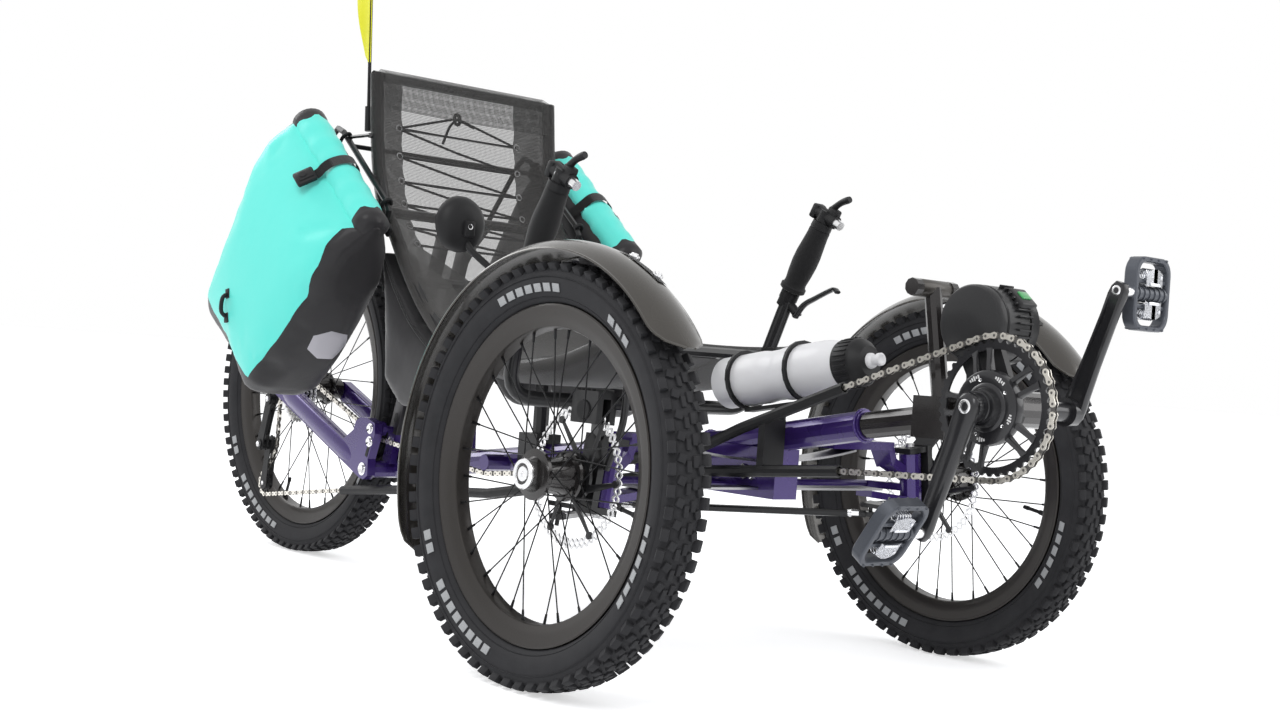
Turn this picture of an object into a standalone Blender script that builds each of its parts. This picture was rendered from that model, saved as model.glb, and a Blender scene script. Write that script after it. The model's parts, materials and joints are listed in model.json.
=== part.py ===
# Recumbent trike: two steered wheels in front, one driven wheel behind, rider's seat slung between.
# Metres and degrees. +X is the rider's left, -Y is forwards, +Z is up, and the tyres stand on Z = 0.
# Places are written from the middle of the front axle: (side, back, up), back and up being the distances behind
# and above it. Shares of places are shares of the frame's length, in the same (back, up) order.

import math

import bmesh
import bpy
from mathutils import Matrix, Vector

# Wheels
track = 0.767
frame_length = 0.930
pivot_tyre_gap = 0.0065
camber_deg = 2.0
front_rim_radius = 0.2095
front_tyre_height = 0.0525
rear_rim_radius = 0.2595
rear_tyre_height = 0.053
tyre_width = 0.060
rim_width = 0.034
rim_inner_width = 0.018
rim_depth = 0.029
rim_edge_depth = 0.012
spoke_count = 32
spoke_radius = 0.0011
spoke_lead_deg = 52.0
wheel_steps = 36
front_lugs = 24
rear_lugs = 28
lug_depth = 0.0045

# Hubs and axles
axle_radius = 0.010
axle_reach = 0.018
front_hub_radius = 0.024
hub_flange_radius = 0.031
hub_flange_width = 0.004
hub_inboard = 0.030
hub_outboard = 0.022
hub_cap_reach = 0.038
hub_cap_radius = 0.017
rotor_seat_radius = 0.022
rear_hub_half = 0.030
rear_hub_radius = 0.020
dropout_half = 0.0675
arm_thickness = 0.016
hub_end_gap = 0.002

# Brakes
rotor_radius = 0.090
rotor_band = 0.014
rotor_thickness = 0.002
rotor_offset = 0.0435
rotor_arms = 6
rotor_steps = 24
rotor_arm_width = 0.008
caliper_length = 0.050
caliper_height = 0.040
caliper_width = 0.030
caliper_slot = 0.012
caliper_forward = 0.022
caliper_up = 0.088
caliper_roof = 0.009
bracket_thickness = 0.0075
bracket_sink = 0.004

# Steering
kingpin_inset = 0.0915
kingpin_lean_deg = 8.0
kingpin_radius = 0.008
housing_radius = 0.016
housing_length = 0.080
ear_thickness = 0.008
ear_gap = 0.001
ear_half = 0.015
ear_reach = 0.016
web_over = 0.001
plate_clear = 0.003
knuckle_plate = 0.010
knuckle_plate_width = 0.036
steering_arm_length = 0.080
steering_arm_thickness = 0.0065
rod_clear = 0.0078
rod_inset = 0.008
crank_level = -0.0582
crank_pin_length = 0.033
rod_level = -0.0722
rod_drop = 0.010
rod_radius = 0.0055
rod_eye_radius = 0.011
rod_eye_height = 0.007
rod_stud_radius = 0.003
rod_stud_play = 0.0014
rod_stud_reach = 0.0125
steerer_back = 0.260
steerer_radius = 0.011
head_radius = 0.018
head_top = 0.0558
head_bottom = -0.0302
crank_plate = 0.008
crank_width = 0.026
bar_radius = 0.011
bar_level = 0.0828
grip_radius = 0.017

# Frame
tube_radius = 0.020
boom_radius = 0.0175
boom_gap = 0.001
block_half = 0.022
block_front = -0.030
block_back = 0.120
block_bottom = -0.0262
leaf_back = 0.020
leaf_steps = 12
leaf_width = 0.040
leaf_thickness = 0.003
upper_leaf_up = 0.0218
upper_leaf_end_up = 0.0394
upper_leaf_inset = 0.122
lower_leaf_up = -0.0162
lower_leaf_inset = 0.060
link_radius = 0.006
link_eye_radius = 0.009
link_back = 0.058
link_up = -0.0112
link_inset = 0.0365
pivot_radius = 0.015
pivot_half = 0.0585
pivot_share = (1.0, -0.0819)
cross_along = 0.0098
cross_above = 0.0736
cross_radius = 0.006
channel_side = 0.024
channel_thickness = 0.014
channel_half = 0.012
shock_front_share = (0.7957, 0.0406)
shock_radius = 0.018
shock_rod_radius = 0.006
shock_eye_radius = 0.012
shock_half = 0.011
shock_ear_thickness = 0.006
shock_pin_radius = 0.005
shock_shares = [(0.0, 0.333), (0.22, 0.333), (0.22, 0.889), (0.72, 1.0), (0.80, 1.0), (0.80, 0.444), (1.0, 0.444)]
idler_radius = 0.018
idler_half = 0.004
front_idler_share = (0.6344, -0.0357)

# Drive
chain_side = -0.055
rear_idler_side = -0.053
bracket_share = (-0.4419, 0.1310)
bracket_radius = 0.022
bracket_half = 0.0365
chainring_radius = 0.0849
chainring_depth = 0.011
chainring_thickness = 0.003
spider_arms = 5
spider_thickness = 0.005
spider_arm_half = 0.007
boss_radius = 0.028
chain_half_height = 0.0042
chain_half_width = 0.0028
chain_gap = 0.0006
chain_step = 0.0127
chain_turn_deg = 20.0
crank_length = 0.160
crank_side = 0.100
crank_thickness = 0.014
crank_root_half = 0.016
crank_tip_half = 0.012
crank_turn_deg = 160.0
spindle_radius = 0.012
pedal_side = 0.157
pedal_length = 0.090
pedal_width = 0.074
pedal_thickness = 0.018
pedal_wall = 0.009
pedal_spindle_radius = 0.006
pedal_spindle_reach = 0.028
pedal_turns_deg = {"left": 0.0, "right": 34.0}
motor_radius = 0.047
motor_behind = 0.051
motor_above = 0.099
motor_left = 0.034
motor_right = 0.047
motor_plate_thickness = 0.010
motor_plate_radius = 0.034
motor_round = 0.006
spindle_clear = 0.002
chainring_steps = 30
sprocket_count = 7
largest_cog = 0.072
smallest_cog = 0.024
cog_in_use = 4
sprocket_share = 0.38
sprocket_neck_share = 0.8
chain_tube_radius = 0.008
chain_tube_bore = 0.0062
hanger_back = -0.036
hanger_length = 0.012
pulley_radius = 0.022
guide_behind = 0.063
guide_below = 0.1145
tension_behind = 0.073
tension_below = 0.1905
cage_half = 0.007
cage_plate = 0.002
mech_side = 0.067
mech_thickness = 0.012
mech_root_half = 0.011
mech_tip_half = 0.013
mech_pin_radius = 0.008
cage_plate_half = 0.011
mech_behind = 0.037
mech_below = 0.0265

# Fittings on the boom and main tube
post_foot_share = 0.498
post_lean = 0.029
post_height = 0.160
post_radius = 0.011
post_clamp_half = 0.026
post_bar_half = 0.034
post_bar_radius = 0.007
post_cap_length = 0.012
bottle_radius = 0.0365
bottle_back = 0.100
bottle_up = 0.1238
bottle_length = 0.290
bottle_slope_share = 0.168
cage_wire = 0.0025
cage_clear = 0.0005
cage_spine_half = 0.009
cage_foot_along = 0.105
cage_foot_radius = 0.008
cage_hoops = [0.040, 0.150]

# Seat
seat_half = 0.178
seat_tube_radius = 0.0105
seat_bar_radius = 0.0085
seat_bar_drop = 0.0125
sling_thickness = 0.003
seat_stem_radius = 0.013
seat_saddle_half = 0.024
seat_link_thickness = 0.006
seat_link_half = 0.011
stem_foot_rise = 0.015
sling_from = 0
seat_bars = [0, 3, 5, 7, 10]
stem_bar_index = 7
link_bar_index = 3
side_bag_inner = 0.130
side_bag_outer = 0.200
side_bag_rows = [4, 5, 6, 7]

# Luggage
pannier_inner = 0.2010
pannier_outer = 0.345
rack_hang_along = 0.0091
rack_top = 0.170
rack_stub_shares = [(2, 0.20), (1, 0.18)]
pannier_tilt_deg = 39.0
rack_side = 0.1955
rack_radius = 0.005
rack_over = 0.002
rack_cross_along = 0.095
rack_bend = 0.025
mast_behind = 0.0070
mast_below = 0.0880
mast_radius = 0.003
mast_top = 1.450
mast_lean_share = 0.09
mast_socket_radius = 0.006
mast_socket_length = 0.035
flag_length = 0.550
flag_width = 0.055
flag_drop = 0.030
flag_thickness = 0.0015

# Mudguards
guard_clear = 0.028
guard_half = 0.038
guard_drop = 0.014
guard_thickness = 0.003
guard_front_deg = 55.0
guard_rear_deg = 116.0
guard_steps = 17
guard_stay_radius = 0.0045
guard_facets = 4
guard_tip_share = 0.55
stay_foot_along = 0.010
stay_forward = 0.026
stay_rise = 0.060
stay_bend = 0.020
# Guard end of the stay: (inboard of the wheel's middle, distance inside the guard)
stay_line = [(0.044, 0.040), (0.036, 0.016), (0.010, 0.005)]
stay_ahead_deg = 21.0

# Centre lines and outlines
main_line_shares = [(-0.1828, 0.0917), (0.1075, 0.0406), (0.9946, -0.0776)]
channel_line_shares = [(0.9957, -0.0669), (0.8634, 0.3632)]
upper_tube_shares = [(-0.1882, 0.1417), (0.0065, 0.0718), (0.0935, 0.0353), (0.3226, -0.0088), (0.4839, -0.0400)]
lower_tube_shares = [(-0.1903, 0.0277), (0.0957, 0.0009), (0.6237, -0.0884), (0.8699, -0.1077), (1.1011, -0.1325)]
seat_line_shares = [(0.8634, 0.6353), (0.8495, 0.5353), (0.8333, 0.4600), (0.8065, 0.3955), (0.7613, 0.3417),
                    (0.7097, 0.2772), (0.6452, 0.2127), (0.5591, 0.1589), (0.4301, 0.1320), (0.2688, 0.1482),
                    (0.1355, 0.1912)]
side_bag_shares = [(0.5376, 0.1052), (0.5355, 0.0783), (0.5699, 0.0535), (0.6882, 0.0514), (0.7419, 0.0944),
                   (0.7656, 0.2557)]
side_bag_gap = 0.0006

# Swing arm, from its pivot to the rear axle: shares of that length (along, above)
arm_shares = [(-0.0595, -0.0078), (-0.0329, -0.0434), (0.0104, -0.0527), (0.9509, -0.0526), (1.0196, -0.0532),
              (1.0569, -0.0226), (1.0508, 0.0253), (0.9863, 0.0524), (0.2406, 0.0535), (0.1738, 0.1380),
              (0.1748, 0.1877), (0.1427, 0.2255), (0.0831, 0.2492), (0.0041, 0.2554), (-0.0206, 0.2088),
              (-0.0229, 0.0687)]

# Shock's ears: shares of its front pin's height over the main tube (back, above the tube's middle)
ear_shares = [(-0.22, -0.03), (0.24, -0.03), (0.142, 1.022), (0.071, 1.118), (-0.071, 1.118), (-0.142, 1.022)]

# Flag: shares of its width off the mast and of its length from foot to top
flag_shares = [(0.0655, 1.0), (0.727, 0.8364), (1.0, 0.5636), (0.8727, 0.2), (0.5455, 0.0), (0.3636, 0.1455),
               (0.1818, 0.4545), (0.0655, 0.6364)]

# Rack and pannier, in the pannier's own tilted directions: (across, upwards)
rack_front = -0.080
rack_rear = 0.160
rack_foot = -0.135
pannier_height = 0.410
pannier_half_length = 0.160
# Pannier sections from foot to top: shares of (height, half of its length, depth off the inner face, off the outer)
pannier_shares = [(-0.500, 0.625, 0.083, 0.139), (-0.463, 0.719, 0.0, 0.0), (0.0, 0.863, 0.0, 0.0),
                  (0.293, 0.950, 0.0, 0.028), (0.427, 1.0, 0.208, 0.278), (0.500, 1.0, 0.278, 0.361)]
pannier_chamfer = 0.022

# Upright, left one: (start, end or None for the housing's foot, half widths, thickness, square), side from the kingpin
upright_links = [
    ((-0.1700, 0.020, 0.0487), (-0.0400, 0.020, 0.0487), (0.021, 0.019), 0.012, (0, 0, 1)),
    ((-0.0460, 0.020, 0.0478), (-0.0360, 0.016, 0.0198), (0.0185, 0.016), 0.012, (1, 0, 0.3)),
    ((-0.0385, 0.016, 0.0258), (-0.0070, 0.003, 0.0058), (0.015, 0.012), 0.014, (0.5, 0, 0.85)),
    ((-0.0780, 0.020, -0.0215), None, (0.019, 0.013), 0.010, (0, 0, 1)),
    ((-0.0050, 0.006, -0.0112), (-0.0265, 0.060, -0.0112), (0.009, 0.009), 0.0105, (0, 0, 1)),
]
foot_along = -0.030
foot_in = 0.004

# Handlebar, left half, and what is on it: (side, back, up) from the top of the steerer
bar_line = [(0.0, 0.0, 0.0), (0.236, 0.040, 0.0), (0.255, -0.020, 0.185), (0.258, -0.077, 0.295)]
bar_bend = 0.050
grip_start = 0.008
grip_length = 0.108
pod_sink = 0.006
pod_length = 0.048
pod_radius = 0.0135
lever_line = [(0.258, -0.080, 0.310), (0.266, -0.110, 0.303), (0.266, -0.127, 0.215)]
lever_radius = 0.005
mirror_line = [(-0.2642, -0.0100, 0.1550), (-0.290, 0.002, 0.167), (-0.322, 0.030, 0.200), (-0.329, 0.044, 0.227)]
mirror_centre = (-0.330, 0.043, 0.235)
mirror_radius = 0.038
mirror_thickness = 0.014
mirror_arm_radius = 0.003

# Bottle: shares of its length and of its radius
bottle_shares = [(0.000, 0.82), (0.017, 1.0), (0.293, 1.0), (0.321, 0.945), (0.407, 0.945), (0.434, 1.0), (0.707, 1.0),
                 (0.786, 0.877), (0.903, 0.877), (0.931, 0.603), (0.945, 0.274), (1.0, 0.219)]

gap = 0.0003
axle_gap = 0.0003
cut_over = 0.010
front_tyre_radius = front_rim_radius + front_tyre_height
rear_tyre_radius = rear_rim_radius + rear_tyre_height
wheelbase = frame_length + pivot_tyre_gap + rear_tyre_radius
kingpin_side = track / 2 - kingpin_inset
guard_radius = front_tyre_radius + guard_clear
mast_side = seat_half + mast_radius + gap
bracket_back, bracket_up = (frame_length * share for share in bracket_share)
front_reach = chainring_radius + chain_half_height - bracket_back
rear_reach = wheelbase + rear_tyre_radius
front_axle_y = (front_reach - rear_reach) / 2

sides = {"left": 1, "right": -1}


# Scene and materials

for old in list(bpy.data.objects):
    bpy.data.objects.remove(old, do_unlink=True)

trike = bpy.data.objects.new("trike", None)
bpy.context.scene.collection.objects.link(trike)


def finish(name, colour, roughness, metallic):
    made = bpy.data.materials.new(name)
    made.use_nodes = True
    shader = made.node_tree.nodes["Principled BSDF"]
    shader.inputs["Base Color"].default_value = (*colour, 1)
    shader.inputs["Roughness"].default_value = roughness
    shader.inputs["Metallic"].default_value = metallic
    return made


purple = finish("purple_paint", (0.10, 0.04, 0.30), 0.28, 0.5)
black_paint = finish("black_paint", (0.02, 0.02, 0.022), 0.35, 0.2)
rubber = finish("tyre_rubber", (0.03, 0.03, 0.035), 0.85, 0)
rim_black = finish("rim_grey", (0.07, 0.065, 0.06), 0.4, 0.5)
silver = finish("bare_metal", (0.75, 0.75, 0.76), 0.25, 1)
steel = finish("chain_steel", (0.62, 0.60, 0.56), 0.35, 1)
titanium = finish("spring_metal", (0.55, 0.55, 0.55), 0.35, 1)
guard_paint = finish("guard_grey", (0.14, 0.13, 0.12), 0.22, 0.6)
foam = finish("grip_foam", (0.025, 0.025, 0.025), 0.95, 0)
mesh_cloth = finish("seat_mesh", (0.05, 0.05, 0.05), 0.9, 0)
mint = finish("bag_mint", (0.12, 0.85, 0.66), 0.55, 0)
bag_black = finish("bag_black", (0.025, 0.025, 0.025), 0.8, 0)
plastic = finish("black_plastic", (0.03, 0.03, 0.03), 0.5, 0)
white = finish("bottle_white", (0.92, 0.92, 0.93), 0.4, 0)
yellow = finish("flag_yellow", (0.9, 0.95, 0.1), 0.7, 0)


# Making shapes

def mesh_object(name, bm, material):
    """An object from a bmesh, faces outwards, smooth where its faces meet gently."""
    bmesh.ops.recalc_face_normals(bm, faces=bm.faces)
    mesh = bpy.data.meshes.new(name)
    bm.to_mesh(mesh)
    bm.free()
    mesh.shade_smooth()
    mesh.set_sharp_from_angle(angle=math.radians(35))
    made = bpy.data.objects.new(name, mesh)
    mesh.materials.append(material)
    bpy.context.scene.collection.objects.link(made)
    return made


def loft(rings, closed=False):
    """A solid through rings of points: capped at its ends, or closed round on itself."""
    bm = bmesh.new()
    rows = [[bm.verts.new(point) for point in ring] for ring in rings]
    pairs = list(zip(rows, rows[1:]))
    if closed:
        pairs.append((rows[-1], rows[0]))
    else:
        bm.faces.new(rows[0])
        bm.faces.new(rows[-1])
    for first, second in pairs:
        for i in range(len(first)):
            j = (i + 1) % len(first)
            bm.faces.new((first[i], first[j], second[j], second[i]))
    return bm


def across(direction):
    """Two directions square to the one given, the first as near to upright as it can be."""
    along = Vector(direction).normalized()
    upright = Vector((0, 0, 1)) if abs(along.z) < 0.9 else Vector((0, 1, 0))
    first = (upright - along * upright.dot(along)).normalized()
    return first, along.cross(first)


def circle(centre, first, second, radius, sides_count, start=0.0):
    turns = [start + math.tau * i / sides_count for i in range(sides_count)]
    return [centre + first * (radius * math.cos(t)) + second * (radius * math.sin(t)) for t in turns]


def rounded(points, radius, steps=4):
    """The polyline with each inner corner made an arc of the radius."""
    points = [Vector(point) for point in points]
    path = [points[0]]
    for before, corner, after in zip(points, points[1:], points[2:]):
        to_before = (before - corner).normalized()
        to_after = (after - corner).normalized()
        half = to_before.angle(to_after) / 2
        reach = min(radius / math.tan(half), (before - corner).length / 2, (after - corner).length / 2)
        start = corner + to_before * reach
        end = corner + to_after * reach
        for i in range(steps + 1):
            t = i / steps
            path.append(start.lerp(corner, t).lerp(corner.lerp(end, t), t))
    path.append(points[-1])
    return path


def tube(points, radius, sides_count=10, flat=1.0):
    """A round bar or tube along a path. flat squeezes it across its second direction."""
    points = [Vector(point) for point in points]
    first, _ = across(points[1] - points[0])
    rings = []
    for i, point in enumerate(points):
        before = points[max(i - 1, 0)]
        after = points[min(i + 1, len(points) - 1)]
        along = (after - before).normalized()
        first = (first - along * first.dot(along)).normalized()
        second = along.cross(first)
        ring = circle(Vector(), first, second * flat, radius, sides_count)
        # At a bend the ring stands on the mitre, so the bar keeps its thickness.
        if 0 < i < len(points) - 1:
            turn = (point - before).normalized().angle((after - point).normalized())
            stretch = 1 / math.cos(turn / 2)
            bend = ((after - point).normalized() - (point - before).normalized())
            if bend.length > 1e-6:
                bend.normalize()
                ring = [offset + bend * (offset.dot(bend) * (stretch - 1)) for offset in ring]
        rings.append([point + offset for offset in ring])
    return loft(rings)


def loop(points, square, radius, sides_count=6):
    """A round bar round a closed flat path, square being the direction across its plane."""
    rings = []
    for i, point in enumerate(points):
        before, after = points[i - 1], points[(i + 1) % len(points)]
        along = (after - before).normalized()
        stretch = 1 / math.cos((point - before).angle(after - point) / 2)
        rings.append(circle(point, square, along.cross(square) * stretch, radius, sides_count))
    return loft(rings, closed=True)


def turned(start, direction, profile, sides_count=16):
    """A solid of revolution: profile is (distance along, radius) from the start."""
    start = Vector(start)
    along = Vector(direction).normalized()
    first, second = across(along)
    return loft([circle(start + along * d, first, second, r, sides_count) for d, r in profile])


def bar(start, end, radius, sides_count=10):
    start, end = Vector(start), Vector(end)
    return turned(start, end - start, [(0, radius), ((end - start).length, radius)], sides_count)


def bore(start, end, pin_radius, clearance, sides_count=10):
    """A cutter whose flats stand a clearance off the corners of a pin that turns in it."""
    return bar(start, end, (pin_radius + clearance) / math.cos(math.pi / sides_count), sides_count)


def hoop(profile, steps, place=lambda point: point):
    """A ring about the X axis: profile is (side, radius), closed."""
    rings = []
    for i in range(steps):
        t = math.tau * i / steps
        rings.append([place(Vector((u, r * math.sin(t), r * math.cos(t)))) for u, r in profile])
    return loft(rings, closed=True)


def block(low, high):
    (x0, y0, z0), (x1, y1, z1) = low, high
    lower = [Vector(p) for p in ((x0, y0, z0), (x1, y0, z0), (x1, y1, z0), (x0, y1, z0))]
    return loft([lower, [point + Vector((0, 0, z1 - z0)) for point in lower]])


def plate(outline, centre, first, second, thickness):
    """A flat plate: its outline in two directions about a centre, as thick each way from there."""
    centre, first, second = Vector(centre), Vector(first), Vector(second)
    square = first.cross(second).normalized()
    ring = [centre + first * a + second * b for a, b in outline]
    lower = [point - square * (thickness / 2) for point in ring]
    return loft([lower, [point + square * thickness for point in lower]])


def between(start, end, outline_half, thickness, square):
    """A straight flat link from start to end, outline_half wide each side at each end."""
    start, end = Vector(start), Vector(end)
    along = (end - start).normalized()
    square = Vector(square).normalized()
    wide = square.cross(along)
    a, b = outline_half
    corners = [start - wide * a, start + wide * a, end + wide * b, end - wide * b]
    lower = [point - square * (thickness / 2) for point in corners]
    return loft([lower, [point + square * thickness for point in lower]])


def moved(bm, matrix):
    bmesh.ops.transform(bm, matrix=matrix, verts=bm.verts)
    return bm


def node(name, shapes, material, cuts=(), origin=(0, 0, 0), place=None, parent=trike):
    """One named piece: the shapes joined into one body, less the cuts, with its origin where given."""
    parts = [mesh_object(f"{name}_{i}", bm, material) for i, bm in enumerate(shapes)]
    knives = [mesh_object(f"{name}_cut_{i}", bm, material) for i, bm in enumerate(cuts)]
    made = parts[0]
    for tools, operation in ((parts[1:], "UNION"), (knives, "DIFFERENCE")):
        for tool in tools:
            modifier = made.modifiers.new(operation.lower(), "BOOLEAN")
            modifier.operation = operation
            modifier.solver = "EXACT"
            modifier.object = tool
    graph = bpy.context.evaluated_depsgraph_get()
    mesh = bpy.data.meshes.new_from_object(made.evaluated_get(graph))
    mesh.transform(Matrix.Translation(-Vector(origin)))
    mesh.name = name
    for tool in (*parts, *knives):
        bpy.data.objects.remove(tool, do_unlink=True)
    made = bpy.data.objects.new(name, mesh)
    made.parent = parent
    made.matrix_local = place if place else Matrix.Translation(origin)
    bpy.context.scene.collection.objects.link(made)
    return made


# Wheels: each in its own frame, with X along its axle and its centre at zero

tyre_half_shares = [(0.50, 0.0), (0.94, 0.40), (0.98, 0.72), (0.62, 0.95)]


def tyre_section(rim_radius, tyre_height, left_cut=0.0, right_cut=0.0):
    """(side, radius) round the tyre: bead, sidewall, shoulder and crown, each crown edge less its cut."""
    half = tyre_width / 2
    height = tyre_height - gap
    near = [(half * a, rim_radius + gap + height * b) for a, b in tyre_half_shares]
    edge_side, edge_radius = near.pop()
    left = [*near, (edge_side, edge_radius - left_cut)]
    right = [*near, (edge_side, edge_radius - right_cut)]
    return left + [(0.0, rim_radius + tyre_height)] + [(-u, r) for u, r in reversed(right)]


def lugged_tyre(rim_radius, tyre_height, lugs):
    """A tyre whose shoulder lugs stand in turn on its left and on its right, all round."""
    rings = []
    for i in range(lugs * 4):
        turn = math.tau * i / (lugs * 4)
        cuts = (0.0, lug_depth) if i % 4 < 2 else (lug_depth, 0.0)
        rings.append([Vector((u, r * math.sin(turn), r * math.cos(turn)))
                      for u, r in tyre_section(rim_radius, tyre_height, *cuts)])
    return loft(rings, closed=True)


def rim_section(radius):
    edge = rim_width / 2
    inner = rim_inner_width / 2
    return [
        (edge, radius),
        (edge, radius - rim_edge_depth),
        (inner, radius - rim_depth),
        (-inner, radius - rim_depth),
        (-edge, radius - rim_edge_depth),
        (-edge, radius),
    ]


def spokes(rim_radius, left_flange, right_flange, flange_radius):
    """Laced spokes from each hub flange to the rim, leaning each way in turn."""
    made = []
    for i in range(spoke_count):
        rim_turn = math.tau * (i + 0.5) / spoke_count
        lead = math.radians(spoke_lead_deg) * (1 if i % 4 < 2 else -1)
        flange = left_flange if i % 2 else right_flange
        # Spokes that lean forwards lie on the flange's outer face, the others on its inner face.
        flange += spoke_radius * 1.5 * (1 if i % 4 < 2 else -1)
        hub_turn = rim_turn + lead
        reach = rim_radius - rim_depth + rim_edge_depth / 2
        foot = Vector((flange, flange_radius * math.sin(hub_turn), flange_radius * math.cos(hub_turn)))
        head = Vector((rim_inner_width / 6 * (1 if i % 2 else -1),
                       reach * math.sin(rim_turn), reach * math.cos(rim_turn)))
        made.append(bar(foot, head, spoke_radius, 3))
    return made


camber = math.radians(camber_deg)
front_up = max(r * math.cos(camber) + abs(u) * math.sin(camber)
               for u, r in tyre_section(front_rim_radius, front_tyre_height))
rear_up = rear_tyre_radius - front_up
trike.location = (0, front_axle_y, front_up)


def front_place(side):
    """The front wheel's frame: its top leans inwards."""
    centre = Vector((side * track / 2, 0, 0))
    return Matrix.Translation(centre) @ Matrix.Rotation(-side * camber, 4, "Y")


for word, side in sides.items():
    place = front_place(side)
    node(f"tyre_front_{word}", [lugged_tyre(front_rim_radius, front_tyre_height, front_lugs)], rubber, place=place)
    hub_profile = [
        (0, rotor_seat_radius),
        (rotor_offset - hub_inboard - rotor_thickness, rotor_seat_radius),
        (rotor_offset - hub_inboard - rotor_thickness, hub_flange_radius),
        (rotor_offset - hub_inboard + hub_flange_width, hub_flange_radius),
        (rotor_offset - hub_inboard + hub_flange_width, front_hub_radius),
        (rotor_offset + hub_outboard - hub_flange_width, front_hub_radius),
        (rotor_offset + hub_outboard - hub_flange_width, hub_flange_radius),
        (rotor_offset + hub_outboard, hub_flange_radius),
        (rotor_offset + hub_outboard, hub_cap_radius),
        (rotor_offset + hub_cap_reach, hub_cap_radius),
    ]
    hub_start = -rotor_offset + rotor_thickness / 2 + gap
    hub = turned((side * hub_start, 0, 0), (side, 0, 0), hub_profile, 12)
    hub_bore = bore((-side * rotor_offset * 2, 0, 0), (side * (axle_reach + axle_gap), 0, 0), axle_radius, axle_gap)
    laced = spokes(front_rim_radius, hub_outboard - hub_flange_width, -hub_inboard + hub_flange_width,
                   hub_flange_radius - hub_flange_width)
    laced = [moved(bm, Matrix.Diagonal((side, 1, 1, 1))) for bm in laced]
    node(f"wheel_front_{word}", [hub, hoop(rim_section(front_rim_radius), wheel_steps), *laced],
         rim_black, [hub_bore], place=place)
    rotor_at = -side * rotor_offset
    edge = rotor_thickness / 2
    band = hoop([(rotor_at - edge, rotor_radius), (rotor_at + edge, rotor_radius),
                 (rotor_at + edge, rotor_radius - rotor_band), (rotor_at - edge, rotor_radius - rotor_band)],
                rotor_steps)
    boss = hoop([(rotor_at - edge, rotor_seat_radius * 1.2), (rotor_at + edge, rotor_seat_radius * 1.2),
                 (rotor_at + edge, rotor_seat_radius * 0.8), (rotor_at - edge, rotor_seat_radius * 0.8)], 12)
    arms = []
    for i in range(rotor_arms):
        turn = math.tau * i / rotor_arms
        away = Vector((0, math.sin(turn), math.cos(turn)))
        aside = Vector((0, math.sin(turn + 0.5), math.cos(turn + 0.5)))
        arms.append(between(Vector((rotor_at, 0, 0)) + away * rotor_seat_radius,
                            Vector((rotor_at, 0, 0)) + aside * (rotor_radius - rotor_band / 2),
                            (rotor_arm_width / 2, rotor_arm_width / 2), rotor_thickness * 0.9, (1, 0, 0)))
    node(f"rotor_front_{word}", [band, boss, *arms], silver, place=place)

rear_place = Matrix.Translation((0, wheelbase, rear_up))
node("tyre_rear", [lugged_tyre(rear_rim_radius, rear_tyre_height, rear_lugs)], rubber, place=rear_place)
rear_hub = turned((-rear_hub_half, 0, 0), (1, 0, 0), [
    (0, hub_flange_radius), (hub_flange_width, hub_flange_radius), (hub_flange_width, rear_hub_radius),
    (2 * rear_hub_half - hub_flange_width, rear_hub_radius),
    (2 * rear_hub_half - hub_flange_width, hub_flange_radius), (2 * rear_hub_half, hub_flange_radius),
    (2 * rear_hub_half, rotor_seat_radius),
    (rear_hub_half + dropout_half - arm_thickness / 2 - hub_end_gap, rotor_seat_radius)], 12)
rear_bore = bore((-dropout_half, 0, 0), (dropout_half, 0, 0), axle_radius / 2, axle_gap)
rear_laced = spokes(rear_rim_radius, rear_hub_half - hub_flange_width, -rear_hub_half + hub_flange_width,
                    hub_flange_radius - hub_flange_width)
node("wheel_rear", [rear_hub, hoop(rim_section(rear_rim_radius), wheel_steps), *rear_laced], rim_black,
     [rear_bore], place=rear_place)


# Sprockets, the largest next to the spokes. A chain lies outside each, so each is that much smaller.
sprocket_pitch = (dropout_half - arm_thickness / 2 - rear_hub_half - hub_end_gap) / sprocket_count
sprocket_profile = []
cog_radii = []
for i in range(sprocket_count):
    cog_radii.append(largest_cog + (smallest_cog - largest_cog) * i / (sprocket_count - 1))
    tip = cog_radii[i] - chain_half_height - chain_gap
    for along, radius in ((0, tip), (sprocket_share, tip), (sprocket_share, tip * sprocket_neck_share),
                          (1, tip * sprocket_neck_share)):
        sprocket_profile.append(((i + along) * sprocket_pitch, radius))
cog_radius = cog_radii[cog_in_use]
cog_side = -rear_hub_half - gap - (cog_in_use + sprocket_share / 2) * sprocket_pitch
node("cassette", [turned((-rear_hub_half - gap, 0, 0), (-1, 0, 0), sprocket_profile, 16)], steel,
     [bore((0, 0, 0), (-2 * dropout_half, 0, 0), axle_radius / 2, axle_gap)], place=rear_place)


# Front suspension, kingpins and knuckles

lean = math.radians(kingpin_lean_deg)
plate_at = housing_radius + plate_clear + knuckle_plate / 2
ear_centre = housing_length / 2 + ear_gap + ear_thickness / 2
eye_below = (ear_thickness + rod_eye_height) / 2 + rod_clear
x_axis = Vector((1, 0, 0))
y_axis = Vector((0, 1, 0))
z_axis = Vector((0, 0, 1))


def kingpin_axis(side):
    return Vector((-side * math.sin(lean), 0, math.cos(lean)))


def outboard(side):
    """Square to the kingpin, away from the machine."""
    return Vector((side * math.cos(lean), 0, math.sin(lean)))


def kingpin(side, along=0.0):
    """A point on the kingpin's axis, so far up from the hubs."""
    return Vector((side * kingpin_side, 0, 0)) + kingpin_axis(side) * along


def mirrored(side, point):
    x, y, z = point
    return Vector((side * x, y, z))


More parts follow.
